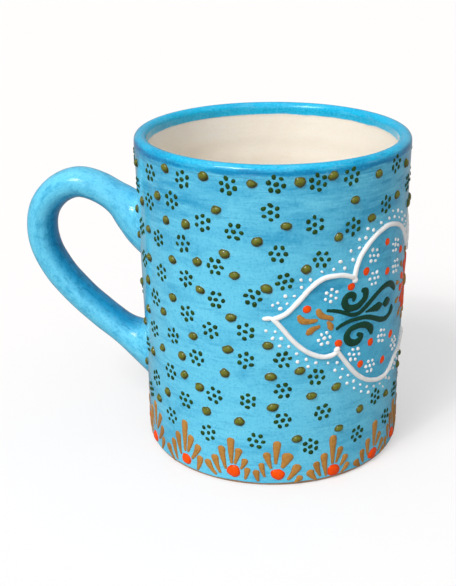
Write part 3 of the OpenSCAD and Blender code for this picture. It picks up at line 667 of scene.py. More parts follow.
def handle_look(w, place):
    """The handle's glaze, plain on its back, with painted shade that darkens its inner side where tone is 1.
    """
    c = colours()
    # Painted shade: where tone is 1, on the handle's inner side, the glaze turns to its deep and painted
    # shade colours
    shaded = w.span(w.kept("tone"), 0.3, 0.98, 0.0, 0.95)
    return w.use(brushed_glaze(), Place=place, Streaks=(140, 800, 800), Drift=(300, 420, 420),
                 Base=w.mix(shaded, c.turquoise, c.turquoise_deep),
                 Thin=w.mix(shaded, c.turquoise_light, c.turquoise_deep),
                 Thick=w.mix(shaded, c.turquoise_deep, c.turquoise_painted_shade),
                 Streak_Share=0.45, Drift_Share=0.45, Gloss=0.1)


def glaze_material(name, look, bump=0.25, coat=0.35, along="", edge_darkening=0.0, blends=()):
    """A brushed glaze, darker towards its edge by edge_darkening; blends names values and the looks shown at
    0.
    """
    material, w, shader, place = new_material(name)
    if along:
        place = w.put("Attribute", attribute_name=along).outputs["Vector"]
    result = look(w, place)
    shade = result["Color"]
    if edge_darkening:
        # Darker towards the edge of the piece, where rise falls to 0
        shade = w.toned(shade, w.kept("rise"), (0.14, 0.0), edge_darkening, colours().ground_deep)
    ragged = w.span(w.noise(w.stretch(place, (160, 160, 900)), 1.0, 4.0), 0.3, 0.7, -0.22, 0.22)
    for value, under in blends:
        shown = w.span(w.plus(w.kept(value), ragged), 0.12, 0.88)
        shade = w.mix(shown, under(w, place)["Color"], shade)
    dress(w, shader, shade, result, bump, 0.12 * MM, Specular_IOR_Level=0.25, Coat_Weight=coat,
          Coat_Roughness=0.03)
    return material


def slip_material(name, core, deep, edge=None, under=None, stain=None, bump=0.2, coat=0.06, shine=0.14,
                  **shares):
    """Raised slip, made once for all that wear it; shares are the slip body's values.

    Under is the look of the glaze into which its skirt fades, past a stain of its own colour.
    """
    if name in bpy.data.materials:
        return bpy.data.materials[name]
    material, w, shader, place = new_material(name)
    result = w.use(slip_body(), Place=place, Rise=w.kept("rise"), Tone=w.kept("tone"), Core=core, Deep=deep,
                   Edge=edge or deep, **shares)
    shade = result["Color"]
    if under:
        ragged = w.span(w.noise(place, 1800.0, 2.0), 0.35, 0.65, -0.16, 0.16)
        veil = w.plus(w.kept("veil"), ragged)
        if stain:
            shade = w.mix(w.span(veil, 0.98, 0.6), shade, stain)
        shade = w.mix(w.span(veil, 0.05, 0.9), under(w, place)["Color"], shade)
    dress(w, shader, shade, result, bump, 0.08 * MM, Specular_IOR_Level=shine, Coat_Weight=coat,
          Coat_Roughness=0.05)
    return material


def clay_material(name, scale):
    material, w, shader, place = new_material(name)
    result = w.use(fired_clay(), Place=place, Base=colours().clay, Grains=colours().clay_dark, Scale=scale)
    dress(w, shader, result["Color"], result, 0.5, 0.15 * MM)
    return material


def white_slip():
    grey, cool = (0.8, 0.8, 0.79), (0.86, 0.88, 0.9)
    return slip_material("white slip", colours().white, grey, cool, coat=0.1, shine=0.35, Edge_Share=0.35,
                         Tone_Share=0.15, Mottle=0.12, Gloss=0.22)


def red_slip(name, under):
    c = colours()
    return slip_material(name, c.red, c.red_deep, under=under, Edge_Share=0.5, Tone_Share=0.3, Mottle=0.35)


def ochre_slip(name, under):
    c = colours()
    return slip_material(name, c.ochre, c.ochre_deep, under=under, bump=0.35, Edge_Share=0.45,
                         Tone_Share=0.45, Mottle=0.55, Gloss=0.34)


# The cup

class MUG_OT_clay(Operator):
    """Builds the thrown clay body with its bare foot, and dresses the clay that the glaze hides"""

    bl_idname = "mug.clay"
    bl_label = "Clay body"

    def execute(self, context):
        solid = profile_of("clay_body")
        standing = [r for r, z in solid if z < 0.01 * MM]
        ring_in, ring_out = min(standing), max(standing)
        recess = max(z for r, z in solid if abs(r - ring_in) < 0.05 * MM)
        chamfer_z = min(z for r, z in solid if r > ring_out + 0.2 * MM)
        coat = wall_r(chamfer_z) - far_radius("clay_body", chamfer_z)
        arch = 0.15 * MM
        profile = [(0.05 * MM, recess + arch)]
        profile += [(ring_in * k / 10, recess + arch * (1 - k / 10)) for k in range(2, 10)]
        recess_edge = ((-0.35, 0), (-0.1, -0.12), (0, -0.4))
        inner_edge = ((0.12, 0.35), (0.5, 0.06), (1, 0))
        outer_edge = ((-0.5, 0), (-0.1, 0.05), (0.16, 0.18), (0.33, 0.42))
        wall_heights = (0.7, 1.2, 2, 3, 6, 20, 50, 80, 96)
        profile += [(ring_in + r * MM, recess + z * MM) for r, z in recess_edge]
        profile += [(ring_in + r * MM, z * MM) for r, z in inner_edge]
        profile += [((ring_in + ring_out) / 2, 0)]
        profile += [(ring_out + r * MM, z * MM) for r, z in outer_edge]
        profile += [(wall_r(z * MM) - coat, z * MM) for z in wall_heights]

        def turned(a, r, z):
            return r + (wobble(a, z) if r > ring_in + 2 * MM else 0), z
        shape = Shape()
        revolve(shape, profile, CLAY_SIDES, turned)
        shape.finish("clay_foot", clay_material("bare clay", 1.0), "bare_clay", "clay_body")
        hidden = clay_material("covered clay", 1.4)
        for name in ("handle", "handle_slip"):
            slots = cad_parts[name].data.materials
            slots.clear()
            slots.append(hidden)
        return {"FINISHED"}


class MUG_OT_wall(Operator):
    """Builds the turquoise coat on the outside of the wall, with its wavering edge above the bare foot"""

    bl_idname = "mug.wall"
    bl_label = "Wall glaze"

    def execute(self, context):
        start, top, rows = WALL_LOW + 1.1 * MM, RIM_LOW + 1.6 * MM, 88
        edge = ((-0.25, 0), (-0.08, 0), (0.02, 0.06), (0.05, 0.22), (0.03, 0.55))
        profile = [(lift * MM, WALL_LOW + z * MM) for lift, z in edge]
        profile += [(0, start + (top - start) * k / rows) for k in range(rows + 1)]
        fade_h, raised = 5 * MM, 0.25 * MM

        def coated(a, lift, z):
            fade = max(0, 1 - (z - WALL_LOW) / fade_h)
            z += fade * (0.7 * sizes().edge_waver * ripple(a, 3.0, 3.5) + raised)
            return wall_r(z) + lift + wobble(a, z), z
        shape = Shape()
        revolve(shape, profile, WALL_SIDES, coated)
        material = glaze_material("turquoise glaze", wall_look)
        shape.finish("wall_coat", material, "turquoise_glaze", "wall_glaze")
        return {"FINISHED"}


class MUG_OT_rim(Operator):
    """Builds the second, darker coat over the lip"""

    bl_idname = "mug.rim"
    bl_label = "Rim band"

    def execute(self, context):
        lip = LINING_DEPTH / 2
        lip_z = CUP_H - lip
        film, waver = 0.06 * MM, sizes().rim_waver
        outer_blend, inner_blend, settled = 1.3 * MM, 0.5 * MM, 0.06 * MM
        edge = ((0, -0.15 * MM), (0.02, 0.3 * film), (0.15, 0.85 * film), (0.5, film))
        outside = [(0.0, WALL_HIGH + z * MM, lift) for z, lift in edge]
        outside += [(0.0, lip_z - (lip_z - WALL_HIGH - 0.5 * MM) * (1 - k / 4), film * (1 - k / 5))
                    for k in range(1, 5)]
        arc = [(lip * (1 - math.cos(t)), lip_z + lip * math.sin(t), 0.0) for t in turns(36)[1:18]]
        inside = [(2 * lip, lip_z - (lip_z - LINING_TOP) * k / 5, -film * k / 5) for k in range(6)]
        inside += [(2 * lip, LINING_TOP - 0.1 * MM, -0.5 * film),
                   (2 * lip, LINING_TOP - 0.14 * MM, 0.15 * MM)]
        n_low, n_out, n_in = len(outside), len(outside + arc), len(inside)
        shape, rings = Shape(), []
        for i, (depth, level, lift) in enumerate(outside + arc + inside):
            ring = []
            for a in turns(WALL_SIDES):
                z = level
                if i < n_low:
                    z += (1 - i / n_low) * waver * ripple(a, 9.0, 5.0)
                if i >= n_out:
                    z += (i - n_out) / (n_in - 1) * waver * ripple(a, 15.0, 4.0)
                if z > lip_z:
                    z -= settled * (1 + noise.noise(around(a, 1.7, 21.0))) * (z - lip_z) / lip
                r = wall_r(z) - depth + lift + wobble(a, min(z, lip_z))
                outer = clamped((z - WALL_HIGH) / outer_blend) if i < n_out else 1.0
                inner = clamped((z - LINING_TOP) / inner_blend) if i >= n_out else 1.0
                ring.append(shape.add(around(a, r, z), outer, inner, clamped(1 - 1.4 * depth / lip)))
            rings.append(ring)
        shape.skin(rings)
        blends = (("rise", wall_look), ("tone", cream_look))
        material = glaze_material("rim glaze", rim_look, coat=0.2, blends=blends)
        shape.finish("rim_band", material, "rim_glaze", "rim_glaze")
        return {"FINISHED"}


class MUG_OT_lining(Operator):
    """Builds the cream lining with the faint rings that the thrower's fingers leave"""

    bl_idname = "mug.lining"
    bl_label = "Lining"

    def execute(self, context):
        solid = profile_of("inner_glaze")
        flat_r = min(r for r, z in solid)
        floor_z = max(z for r, z in solid if r < flat_r + 0.05 * MM)
        bend_r = 5.75 * MM
        bend_x = wall_r(floor_z + bend_r) - LINING_DEPTH - bend_r
        low, top, rows = floor_z + bend_r, LINING_TOP + 1.2 * MM, 60
        profile = [(0.05 * MM, floor_z)] + [(bend_x * k / 14, floor_z) for k in range(1, 14)]
        profile += [(bend_x + bend_r * math.sin(t), low - bend_r * math.cos(t)) for t in turns(40)[:11]]
        heights = [low + (top - low) * k / rows for k in range(1, rows + 1)]
        profile += [(wall_r(z) - LINING_DEPTH, z) for z in heights]
        swirl_h, ridge_h = 0.12 * MM, 0.07 * MM

        def thrown(a, r, z):
            if r < bend_x:
                swirl = math.sin(r / MM * 0.9 + a) * min(1, r / (6 * MM)) * (1 - r / bend_x)
                return r, z + swirl_h * swirl
            ridge = math.sin(z / MM * 0.85 + a + 1.2 * noise.noise(around(a, 1, z * 40)))
            fade = min(1, (z - floor_z) / (12 * MM), max(0, (LINING_TOP - z) / (8 * MM)))
            return r + wobble(a, z) - fade * ridge_h * (1 + ridge), z
        shape = Shape()
        revolve(shape, profile, LINING_SIDES, thrown)
        material = glaze_material("cream glaze", cream_look, bump=0.12)
        shape.finish("lining", material, "cream_glaze", "inner_glaze")
        return {"FINISHED"}


# The handle: share of its reach beyond the wall, share of the height between its joints, from the upper
# joint round to the lower
HANDLE_LINE_SHARES = (
    (-0.16, 0.955), (-0.05, 0.965), (0.035, 1.01), (0.12, 1.075), (0.23, 1.16), (0.41, 1.245), (0.61, 1.28),
    (0.8, 1.22), (0.945, 1.09), (1, 0.925), (0.97, 0.74), (0.85, 0.555), (0.68, 0.395), (0.5, 0.262),
    (0.325, 0.15), (0.185, 0.075), (0.08, 0.03), (-0.04, 0), (-0.16, -0.01))


class MUG_OT_handle(Operator):
    """Builds the glazed handle: a pulled strap of round section that swells into both joints"""

    bl_idname = "mug.handle"
    bl_label = "Handle"

    def execute(self, context):
        h = context.scene.mug_handle
        line_x = h.reach - h.coat - h.thickness / 2
        line_h = h.top_z - h.low_z
        line = smooth([(x * line_x, h.low_z + z * line_h) for x, z in HANDLE_LINE_SHARES], 9)
        line = [p for p in line if p[0] > -2.1 * MM]
        n = len(line)
        shape, rings, gone = Shape(), [], 0.0
        for i, (x, z) in enumerate(line):
            run = (Vector(line[min(i + 1, n - 1)]) - Vector(line[max(i - 1, 0)])).normalized()
            if i:
                gone += math.dist(line[i - 1], line[i])
            joint_h, outward = (h.top_swell, 1) if i < n / 2 else (h.low_swell, -1)
            swell = max(0.0, 1 - max(0.0, x) / h.swell_reach) ** 2.5
            across = (Vector((-run.y, run.x)) * (1 - swell) + Vector((0, outward)) * swell).normalized()
            half_t = (h.thickness + swell * (joint_h - h.thickness)) / 2 + h.coat
            half_w = (h.width + swell * (h.joint_w - h.width)) / 2 + h.coat
            ring = []
            for a in turns(HANDLE_SIDES):
                u, v = math.cos(a), math.sin(a)
                lump = noise.noise(Vector((gone * 70, 1.3 * u, 1.3 * v)))
                thumb = noise.noise(Vector((gone * 210, 2.2 * u, 2.2 * v + 5)))
                loose = 1 + 0.016 * lump + (0.012 + 0.02 * swell) * thumb
                q = Vector((x, z)) + across * (half_t * u * loose)
                # tone paints shade on the strap's inner side and fades out into the joints
                ring.append(shape.add((-(wall_r(q.y) + q.x), half_w * v * loose, q.y),
                                      tone=max(0.0, -u) * (1 - swell), flow=(gone, half_t * u, half_w * v)))
            rings.append(ring)
        shape.skin(rings)
        shape.close_ends(rings)
        material = glaze_material("handle glaze", handle_look, bump=0.8, coat=0.1, along="flow")
        shape.finish("handle_coat", material, "handle_glaze", "handle_glaze")
        return {"FINISHED"}


# The medallion: its outline as arcs that meet at points, shares of half its width and height
TOP_SIDE_SHARES = (
    (-1, 0.07), (-0.94, 0.135), (-0.88, 0.275), (-0.815, 0.44), (-0.755, 0.53), (-0.69, 0.545),
    (-0.63, 0.525), (-0.575, 0.47))
TOP_LOBE_SHARES = (
    (-0.575, 0.47), (-0.565, 0.61), (-0.535, 0.745), (-0.485, 0.86), (-0.425, 0.94), (-0.35, 0.985),
    (-0.275, 0.96), (-0.2, 0.89), (-0.14, 0.785), (-0.09, 0.65), (-0.05, 0.55), (0, 0.49))
LOW_LOBE_SHARES = (
    (0, -0.68), (-0.07, -0.78), (-0.135, -0.815), (-0.19, -0.86), (-0.24, -0.945), (-0.295, -1),
    (-0.355, -1), (-0.415, -0.965), (-0.475, -0.905), (-0.535, -0.8), (-0.585, -0.67), (-0.63, -0.53),
    (-0.665, -0.42))
LOW_SIDE_SHARES = (
    (-0.665, -0.42), (-0.7, -0.455), (-0.75, -0.452), (-0.805, -0.4), (-0.855, -0.32), (-0.905, -0.205),
    (-0.955, -0.055), (-1, 0.07))
# Blobs of slip where its arcs begin, its two points and the flower's middle
CUSP_SHARES = ((-0.572, 0.44), (0, 0.46), (-0.667, -0.39), (0, -0.66), (0.572, 0.44), (0.667, -0.39))
TIP_SHARES = ((-1.03, 0.08), (1.03, 0.08))
FLOWER_SHARES = (0, 0.03)
# Strokes in the medallion: x, z and width at each chosen place, shares of half the medallion and of the
# stroke's width. The scrolls are a curl above and one below, a long stroke above and one below, each from
# its thin start, a leaf between them and a round spot
SCROLL_SHARES = (
    ((-0.52, 0.29, 0.5), (-0.5, 0.26, 0.84), (-0.499, 0.19, 0.88), (-0.52, 0.142, 0.82),
     (-0.549, 0.102, 0.82), (-0.584, 0.097, 0.8), (-0.614, 0.117, 0.84), (-0.632, 0.18, 0.84),
     (-0.625, 0.246, 0.8), (-0.6, 0.27, 0.72), (-0.575, 0.24, 0.68), (-0.577, 0.196, 0.45)),
    ((-0.443, -0.302, 0.6), (-0.448, -0.254, 0.9), (-0.471, -0.198, 0.8), (-0.508, -0.161, 0.7),
     (-0.548, -0.155, 0.68), (-0.589, -0.173, 0.76), (-0.612, -0.238, 0.84), (-0.604, -0.31, 0.84),
     (-0.574, -0.357, 0.82), (-0.538, -0.355, 0.8), (-0.519, -0.303, 0.68), (-0.54, -0.262, 0.45)),
    ((-0.727, 0.129, 0.3), (-0.68, 0.105, 0.4), (-0.63, 0.06, 0.44), (-0.585, 0.011, 0.44),
     (-0.54, 0.008, 0.5), (-0.495, 0.058, 0.6), (-0.445, 0.13, 0.64), (-0.4, 0.185, 0.64),
     (-0.35, 0.222, 0.66), (-0.3, 0.222, 0.72), (-0.26, 0.175, 0.8), (-0.235, 0.115, 0.6)),
    ((-0.672, -0.122, 0.34), (-0.646, -0.09, 0.44), (-0.6, -0.063, 0.46), (-0.545, -0.061, 0.46),
     (-0.49, -0.074, 0.5), (-0.44, -0.115, 0.56), (-0.375, -0.185, 0.6), (-0.325, -0.213, 0.64),
     (-0.285, -0.19, 0.68), (-0.262, -0.14, 0.88), (-0.26, -0.11, 0.6)),
    ((-0.49, -0.008, 0.16), (-0.465, -0.005, 0.4), (-0.435, -0.003, 0.75), (-0.408, -0.003, 1.02),
     (-0.386, -0.003, 1.02), (-0.372, -0.003, 0.6)),
    ((-0.344, 0, 0.5), (-0.335, 0, 0.95), (-0.318, 0, 1.15), (-0.301, 0, 0.95), (-0.292, 0, 0.5)),
)
SPRIG_SHARES = (
    ((-0.874, 0.09, 0.6), (-0.867, 0.06, 0.9), (-0.852, 0.03, 0.9), (-0.825, 0.02, 0.7), (-0.8, 0.022, 0.6),
     (-0.785, 0.024, 0.4)),
    ((-0.776, 0.14, 0.7), (-0.77, 0.105, 0.85), (-0.755, 0.07, 0.75), (-0.735, 0.05, 0.68),
     (-0.712, 0.03, 0.65), (-0.7, 0.012, 0.45)),
    ((-0.828, -0.125, 0.65), (-0.82, -0.11, 0.95), (-0.8, -0.08, 0.75), (-0.772, -0.06, 0.45)),
    ((-0.704, -0.105, 0.6), (-0.709, -0.075, 0.85), (-0.716, -0.042, 0.62), (-0.723, -0.022, 0.4)),
)
PETAL_COUNT = 12
# A teardrop stroke: share of its head's length and of its width, then share of what is left and of its width
HEAD_SHARES = (0.004, 0.06, 0.18, 0.36, 0.6)
TAIL_SHARES = ((0, 1), (0.15, 0.93), (0.4, 0.74), (0.7, 0.52), (1, 0.32))


def in_medallion(shares):
    """Places on the wall from shares of half the medallion; what follows x and z stays as it is."""
    s = sizes()
    return [(x * s.medallion_w / 2, s.medallion_z + z * s.medallion_h / 2, *more) for x, z, *more in shares]


def outline_path(steps):
    """The closed line round the medallion, as a list of (x, z)."""
    top_side, top_lobe, low_lobe, low_side = (smooth(in_medallion(shares), steps) for shares in (
        TOP_SIDE_SHARES, TOP_LOBE_SHARES, LOW_LOBE_SHARES, LOW_SIDE_SHARES))
    left_top, left_low = top_side[:-1] + top_lobe, low_lobe[:-1] + low_side
    return left_top + mirrored(left_top)[-2:0:-1] + mirrored(left_low)[:0:-1] + left_low[:-1]


def brush_strokes(shape, strokes, width, waver=0.14):
    """Brushes strokes of the medallion and their mirror images."""
    s = sizes()
    for shares in strokes:
        for line in (shares, mirrored(shares)):
            path = [(x, z, w * width) for x, z, w in in_medallion(smooth(line, 6))]
            trail(shape, rounded_ends(path), s.stroke_lift, base=s.ground_lift, waver=waver, skirt=0.18 * MM)


def teardrop(shape, head, tail, width, base=0.0, bow=0.0, skirt=0.0):
    """A teardrop stroke between two places on the wall, bowed by a share of its length."""
    head, run = Vector(head), Vector(tail) - Vector(head)
    side = Vector((-run.y, run.x))
    neck = 0.46 * width / run.length
    places = [(t * neck, math.sqrt(1 - (1 - t) ** 2)) for t in HEAD_SHARES]
    places += [(neck + (1 - neck) * t, w) for t, w in smooth(TAIL_SHARES, 4)]
    path = [(*(head + run * t + side * (bow * 4 * t * (1 - t))), w * width) for t, w in places]
    trail(shape, rounded_ends(path, first=False), sizes().stroke_lift, base=base, skirt=skirt)


def petal(shape, turn, far, near, width):
    """A teardrop stroke towards the flower's middle."""
    middle, ray = Vector(in_medallion([FLOWER_SHARES])[0]), Vector((math.cos(turn), math.sin(turn)))
    teardrop(shape, middle + ray * far, middle + ray * near, width, sizes().ground_lift)


class MUG_OT_ground(Operator):
    """Builds the darker blue ground inside the medallion"""

    bl_idname = "mug.ground"
    bl_label = "Medallion ground"

    def execute(self, context):
        lift, steps = sizes().ground_lift, 26
        x0, z0 = in_medallion([FLOWER_SHARES])[0]
        path = outline_path(4)
        levels = [(k / steps, lift) for k in range(1, steps + 1)] + [(1, -0.1 * MM)]
        shape = Shape()
        rings = [[shape.add(on_wall_x(x0 + (x - x0) * t, z0 + (z - z0) * t, high), 1 - t) for x, z in path]
                 for t, high in levels]
        shape.skin(rings)
        shape.fan(rings[0], shape.add(on_wall_x(x0, z0, lift)))
        material = glaze_material("medallion ground", ground_look, edge_darkening=0.35)
        shape.finish("blue_ground", material, "blue_wash", "medallion_wash")
        return {"FINISHED"}


class MUG_OT_outline(Operator):
    """Trails the raised white line round the medallion, with a blob where each arc begins"""

    bl_idname = "mug.outline"
    bl_label = "White outline"

    def execute(self, context):
        s, base = sizes(), 0.05 * MM
        blob, tip = (2.2 * MM, 1.9 * MM, 1.04 * s.outline_lift), (3.2 * MM, 1.35 * MM, 0.85 * s.outline_lift)
        shape = Shape(hand(1))
        path = [(x, z, s.outline_w) for x, z in outline_path(5)]
        trail(shape, path, s.outline_lift, TRAILED, closed=True, base=base)
        for x, z in in_medallion(CUSP_SHARES):
            drop(shape, x / MEAN_R, z, *blob, DOME, 22, shape.rng.uniform(0, 1), base)
        for x, z in in_medallion(TIP_SHARES):
            drop(shape, x / MEAN_R, z, *tip, DOME, 24, math.copysign(0.12, -x), base)
        shape.finish("white_outline", white_slip(), "white_slip", "medallion_outline")
        return {"FINISHED"}


class MUG_OT_beads(Operator):
    """Sets the small white beads: the double row outside the outline and the rosettes inside it"""

    bl_idname = "mug.beads"
    bl_label = "White beads"

    def execute(self, context):
        s = sizes()
        for name, node, salt, base, size in (
                ("white_beads", "outline_beads", 2, 0.0, (0.7, 1.08)),
                ("white_flowers", "white_rosettes", 3, s.ground_lift, (0.86, 1.2))):
            shape = Shape(hand(salt))
            set_drops(shape, node, size, (0.88, 1.2), s.bead_lift, (0.85, 1.2), 0.15 * MM, profile=BEAD,
                      sides=14, base=base)
            shape.finish(name, white_slip(), "white_slip", node)
        return {"FINISHED"}


class MUG_OT_red_dots(Operator):
    """Sets the red dots inside the medallion"""

    bl_idname = "mug.red_dots"
    bl_label = "Red dots"

    def execute(self, context):
        s = sizes()
        shape = Shape(hand(4))
        draw = shape.rng.uniform
        for angle, z, d in lumps("red_dots"):
            drop(shape, angle, z, d * draw(0.98, 1.12), d * draw(0.9, 1.04), s.red_lift, DOME, 20,
                 draw(0, math.pi), s.ground_lift, 0.2 * MM)
        shape.finish("red_spots", red_slip("medallion red", ground_look), "red_slip", "red_dots")
        return {"FINISHED"}


class MUG_OT_scrolls(Operator):
    """Brushes the green scrolls and leaves"""

    bl_idname = "mug.scrolls"
    bl_label = "Green scrolls"

    def execute(self, context):
        c = colours()
        shape = Shape(hand(5))
        brush_strokes(shape, SCROLL_SHARES, sizes().scroll_w, 0.1)
        material = slip_material("scroll green", c.scroll, c.scroll_deep, under=ground_look, Edge_Share=0.5,
                                 Tone_Share=0.2, Mottle=0.4, Gloss=0.26)
        shape.finish("scrolls", material, "green_slip", "green_scrolls")
        return {"FINISHED"}


class MUG_OT_sprigs(Operator):
    """Brushes the ochre sprigs and the ochre tips round the flower"""

    bl_idname = "mug.sprigs"
    bl_label = "Ochre sprigs"

    def execute(self, context):
        far, near, width = sizes().flower_r + 3.6 * MM, sizes().flower_r + 0.6 * MM, 1.5 * MM
        shape = Shape(hand(6))
        brush_strokes(shape, SPRIG_SHARES, sizes().sprig_w)
        for turn in turns(PETAL_COUNT):
            petal(shape, turn + TAU / PETAL_COUNT / 2, far, near, width)
        shape.finish("sprigs", ochre_slip("medallion ochre", ground_look), "ochre_slip", "ochre_sprigs")
        return {"FINISHED"}


class MUG_OT_flower(Operator):
    """Brushes the red flower and sets its ochre heart"""

    bl_idname = "mug.flower"
    bl_label = "Flower"

    def execute(self, context):
        s = sizes()
        shape = Shape(hand(7))
        draw = shape.rng.uniform
        near, width = s.flower_r * 0.34, 2.2 * MM
        for turn in turns(PETAL_COUNT):
            petal(shape, turn + draw(-0.03, 0.03), s.flower_r * draw(0.96, 1.02), near, width)
        shape.finish("flower", red_slip("medallion red", ground_look), "red_slip", "flower_petals")
        heart = Shape(shape.rng)
        wide, tall, lift = 4.1 * MM, 3.9 * MM, 0.68 * MM
        drop(heart, 0, in_medallion([FLOWER_SHARES])[0][1], wide, tall, lift, DOME, 28, 0.3, s.ground_lift)
        material = ochre_slip("medallion ochre", ground_look)
        heart.finish("flower_middle", material, "ochre_slip", "flower_heart")
        return {"FINISHED"}


# The wall's dots and border

class MUG_OT_domes(Operator):
    """Sets the large olive domes"""

    bl_idname = "mug.domes"
    bl_label = "Olive domes"

    def execute(self, context):
        c = colours()
        shape = Shape(hand(8))
        # Painted shade: pool darkens each dome's lower right side, and the edge share darkens it towards its
        # foot all round
        set_drops(shape, "olive_domes", (0.74, 0.9), (1.0, 1.16), sizes().dome_lift, (0.85, 1.02),
                  turned=(-0.4, 0.4), profile=DOME, sides=26, skirt=0.34 * MM, pool=0.8)
        material = slip_material("olive slip", c.olive, c.olive_shade_and_mottle, under=wall_look, stain=c.olive_stain,
                                 coat=0.3, shine=0.2, Edge_Share=0.6, Edge_Reach=0.9, Tone_Share=0.9,
                                 Mottle=0.65, Gloss=0.1)
        shape.finish("domes", material, "olive_slip", "olive_domes")
        return {"FINISHED"}


class MUG_OT_green_dots(Operator):
    """Sets the dark green seven-dot rosettes"""

    bl_idname = "mug.green_dots"
    bl_label = "Green rosettes"

    def execute(self, context):
        c = colours()
        shape = Shape(hand(9))
        set_drops(shape, "green_rosettes", (0.84, 1.08), (0.9, 1.2), sizes().dot_lift, (0.8, 1.15),
                  0.12 * MM, profile=BEAD, sides=12, skirt=0.16 * MM)
        material = slip_material("dot green", c.dots, c.dots_deep, under=wall_look, Edge_Share=0.4,
                                 Tone_Share=0.5, Mottle=0.4)
        shape.finish("green_dots", material, "dark_green_slip", "green_rosettes")
        return {"FINISHED"}


# Petals of a palmette: head x, head z, tail x, tail z and width; shares of half the palmette's width, of its
# height and of the petal width
NARROW_PETALS = (
    (0, 0.97, 0, 0.42, 1),
    (-0.36, 0.76, -0.26, 0.38, 0.9), (-0.59, 0.55, -0.46, 0.22, 0.82), (-0.78, 0.32, -0.67, 0.09, 0.82),
    (0.34, 0.76, 0.26, 0.38, 0.85), (0.54, 0.55, 0.43, 0.24, 0.76), (0.7, 0.32, 0.62, 0.09, 0.72),
)
# Palmettes of one side: the angle from the handle and the petals
PALMETTES = (
    (11, NARROW_PETALS),
    (32, (
        (0.2, 1.02, 0.15, 0.5, 1.1),
        (0.74, 0.85, 0.29, 0.45, 1), (0.88, 0.61, 0.45, 0.25, 1), (0.9, 0.38, 0.71, 0.09, 0.95),
        (-0.35, 0.8, -0.2, 0.42, 1), (-0.7, 0.58, -0.42, 0.24, 1), (-0.92, 0.36, -0.68, 0.09, 0.95))),
    (59, (
        (-0.02, 1.07, -0.07, 0.41, 1.12),
        (-0.45, 0.75, -0.31, 0.3, 1.06), (-0.75, 0.54, -0.54, 0.13, 1), (-1.16, 0.35, -0.75, 0.07, 1),
        (0.31, 0.79, 0.1, 0.41, 0.98), (0.66, 0.64, 0.3, 0.3, 0.98), (0.72, 0.42, 0.57, 0.1, 0.98))),
    (83, (
        (-0.09, 0.965, -0.09, 0.43, 1.02),
        (-0.48, 0.76, -0.33, 0.3, 1), (-0.8, 0.55, -0.57, 0.18, 0.95), (-1.14, 0.39, -0.75, 0.12, 1.02),
        (0.25, 0.77, 0.07, 0.44, 0.9), (0.48, 0.56, 0.31, 0.34, 0.84), (0.56, 0.37, 0.45, 0.12, 0.74))),
    (102, (
        (-0.03, 0.96, -0.08, 0.49, 0.96),
        (-0.43, 0.73, -0.27, 0.39, 0.96), (-0.62, 0.49, -0.5, 0.21, 0.74), (-0.82, 0.345, -0.75, 0.11, 0.92),
        (0.42, 0.7, 0.19, 0.41, 1.6), (0.79, 0.45, 0.41, 0.14, 1.1), (0.93, 0.2, 0.68, 0.07, 0.85))),
    (127, (
        (-0.05, 0.94, -0.05, 0.35, 1.08),
        (-0.42, 0.61, -0.32, 0.12, 1), (-0.76, 0.45, -0.56, 0.13, 0.9), (-1.03, 0.295, -0.76, 0.07, 1),
        (0.31, 0.66, 0.1, 0.35, 0.9), (0.58, 0.45, 0.3, 0.25, 0.9), (0.68, 0.26, 0.36, 0.09, 0.84))),
    (150, (
        (0.08, 0.89, 0.06, 0.35, 1.2),
        (-0.33, 0.58, -0.31, 0.22, 1), (-0.66, 0.41, -0.58, 0.12, 0.95), (-1.05, 0.24, -0.8, 0.07, 1),
        (0.48, 0.57, 0.21, 0.33, 0.95), (0.75, 0.37, 0.4, 0.16, 0.92), (0.9, 0.17, 0.56, 0.07, 0.7))),
    (170, NARROW_PETALS),
)


class MUG_OT_palmettes(Operator):
    """Brushes the ochre palmettes of the border and sets their red hearts"""

    bl_idname = "mug.palmettes"
    bl_label = "Palmettes"

    def execute(self, context):
        s = sizes()
        shape = Shape(hand(10))
        draw = shape.rng.uniform
        for degrees, petals in PALMETTES:
            for side in (-1, 1):
                x0 = side * math.radians(180 - degrees) * MEAN_R
                for hx, hz, tx, tz, w in petals:
                    ends = [(x0 - side * x * s.palmette_w / 2 + draw(-0.1, 0.1) * MM,
                             z * s.palmette_h + draw(-0.1, 0.1) * MM) for x, z in ((hx, hz), (tx, tz))]
                    teardrop(shape, *ends, w * s.petal_w * draw(0.86, 0.93), bow=-0.06 * side * hx,
                             skirt=0.26 * MM)
        shape.finish("palmettes", ochre_slip("border ochre", wall_look), "ochre_slip", "palmette_petals")
        hearts = Shape(shape.rng)
        for angle, z, d in lumps("palmette_hearts"):
            drop(hearts, angle, z, d * draw(0.96, 1.12), d * draw(0.86, 1.02), s.heart_lift, DOME, 26,
                 draw(-0.4, 0.4), skirt=0.25 * MM)
        hearts.finish("hearts", red_slip("border red", wall_look), "red_slip", "palmette_hearts")
        return {"FINISHED"}


# The studio. A lamp has its azimuth from the front, its elevation and its softness in degrees, and its power
LAMPS = (
    ("key light", -31, 48, 26, 1.65), ("window light", -28, 48, 4, 0.35),
    ("front light", -3, 25, 60, 0.65), ("top light", 0, 84, 75, 0.6))
FLOOR_GLOW = 0.43
FLOOR_HALF = 3.0
WORLD_GLOW = 0.34


def toward(azimuth, elevation):
    """The direction of something seen round the cup at an angle from the front and at a height angle."""
    return around(azimuth - math.pi / 2, math.cos(elevation), math.sin(elevation))


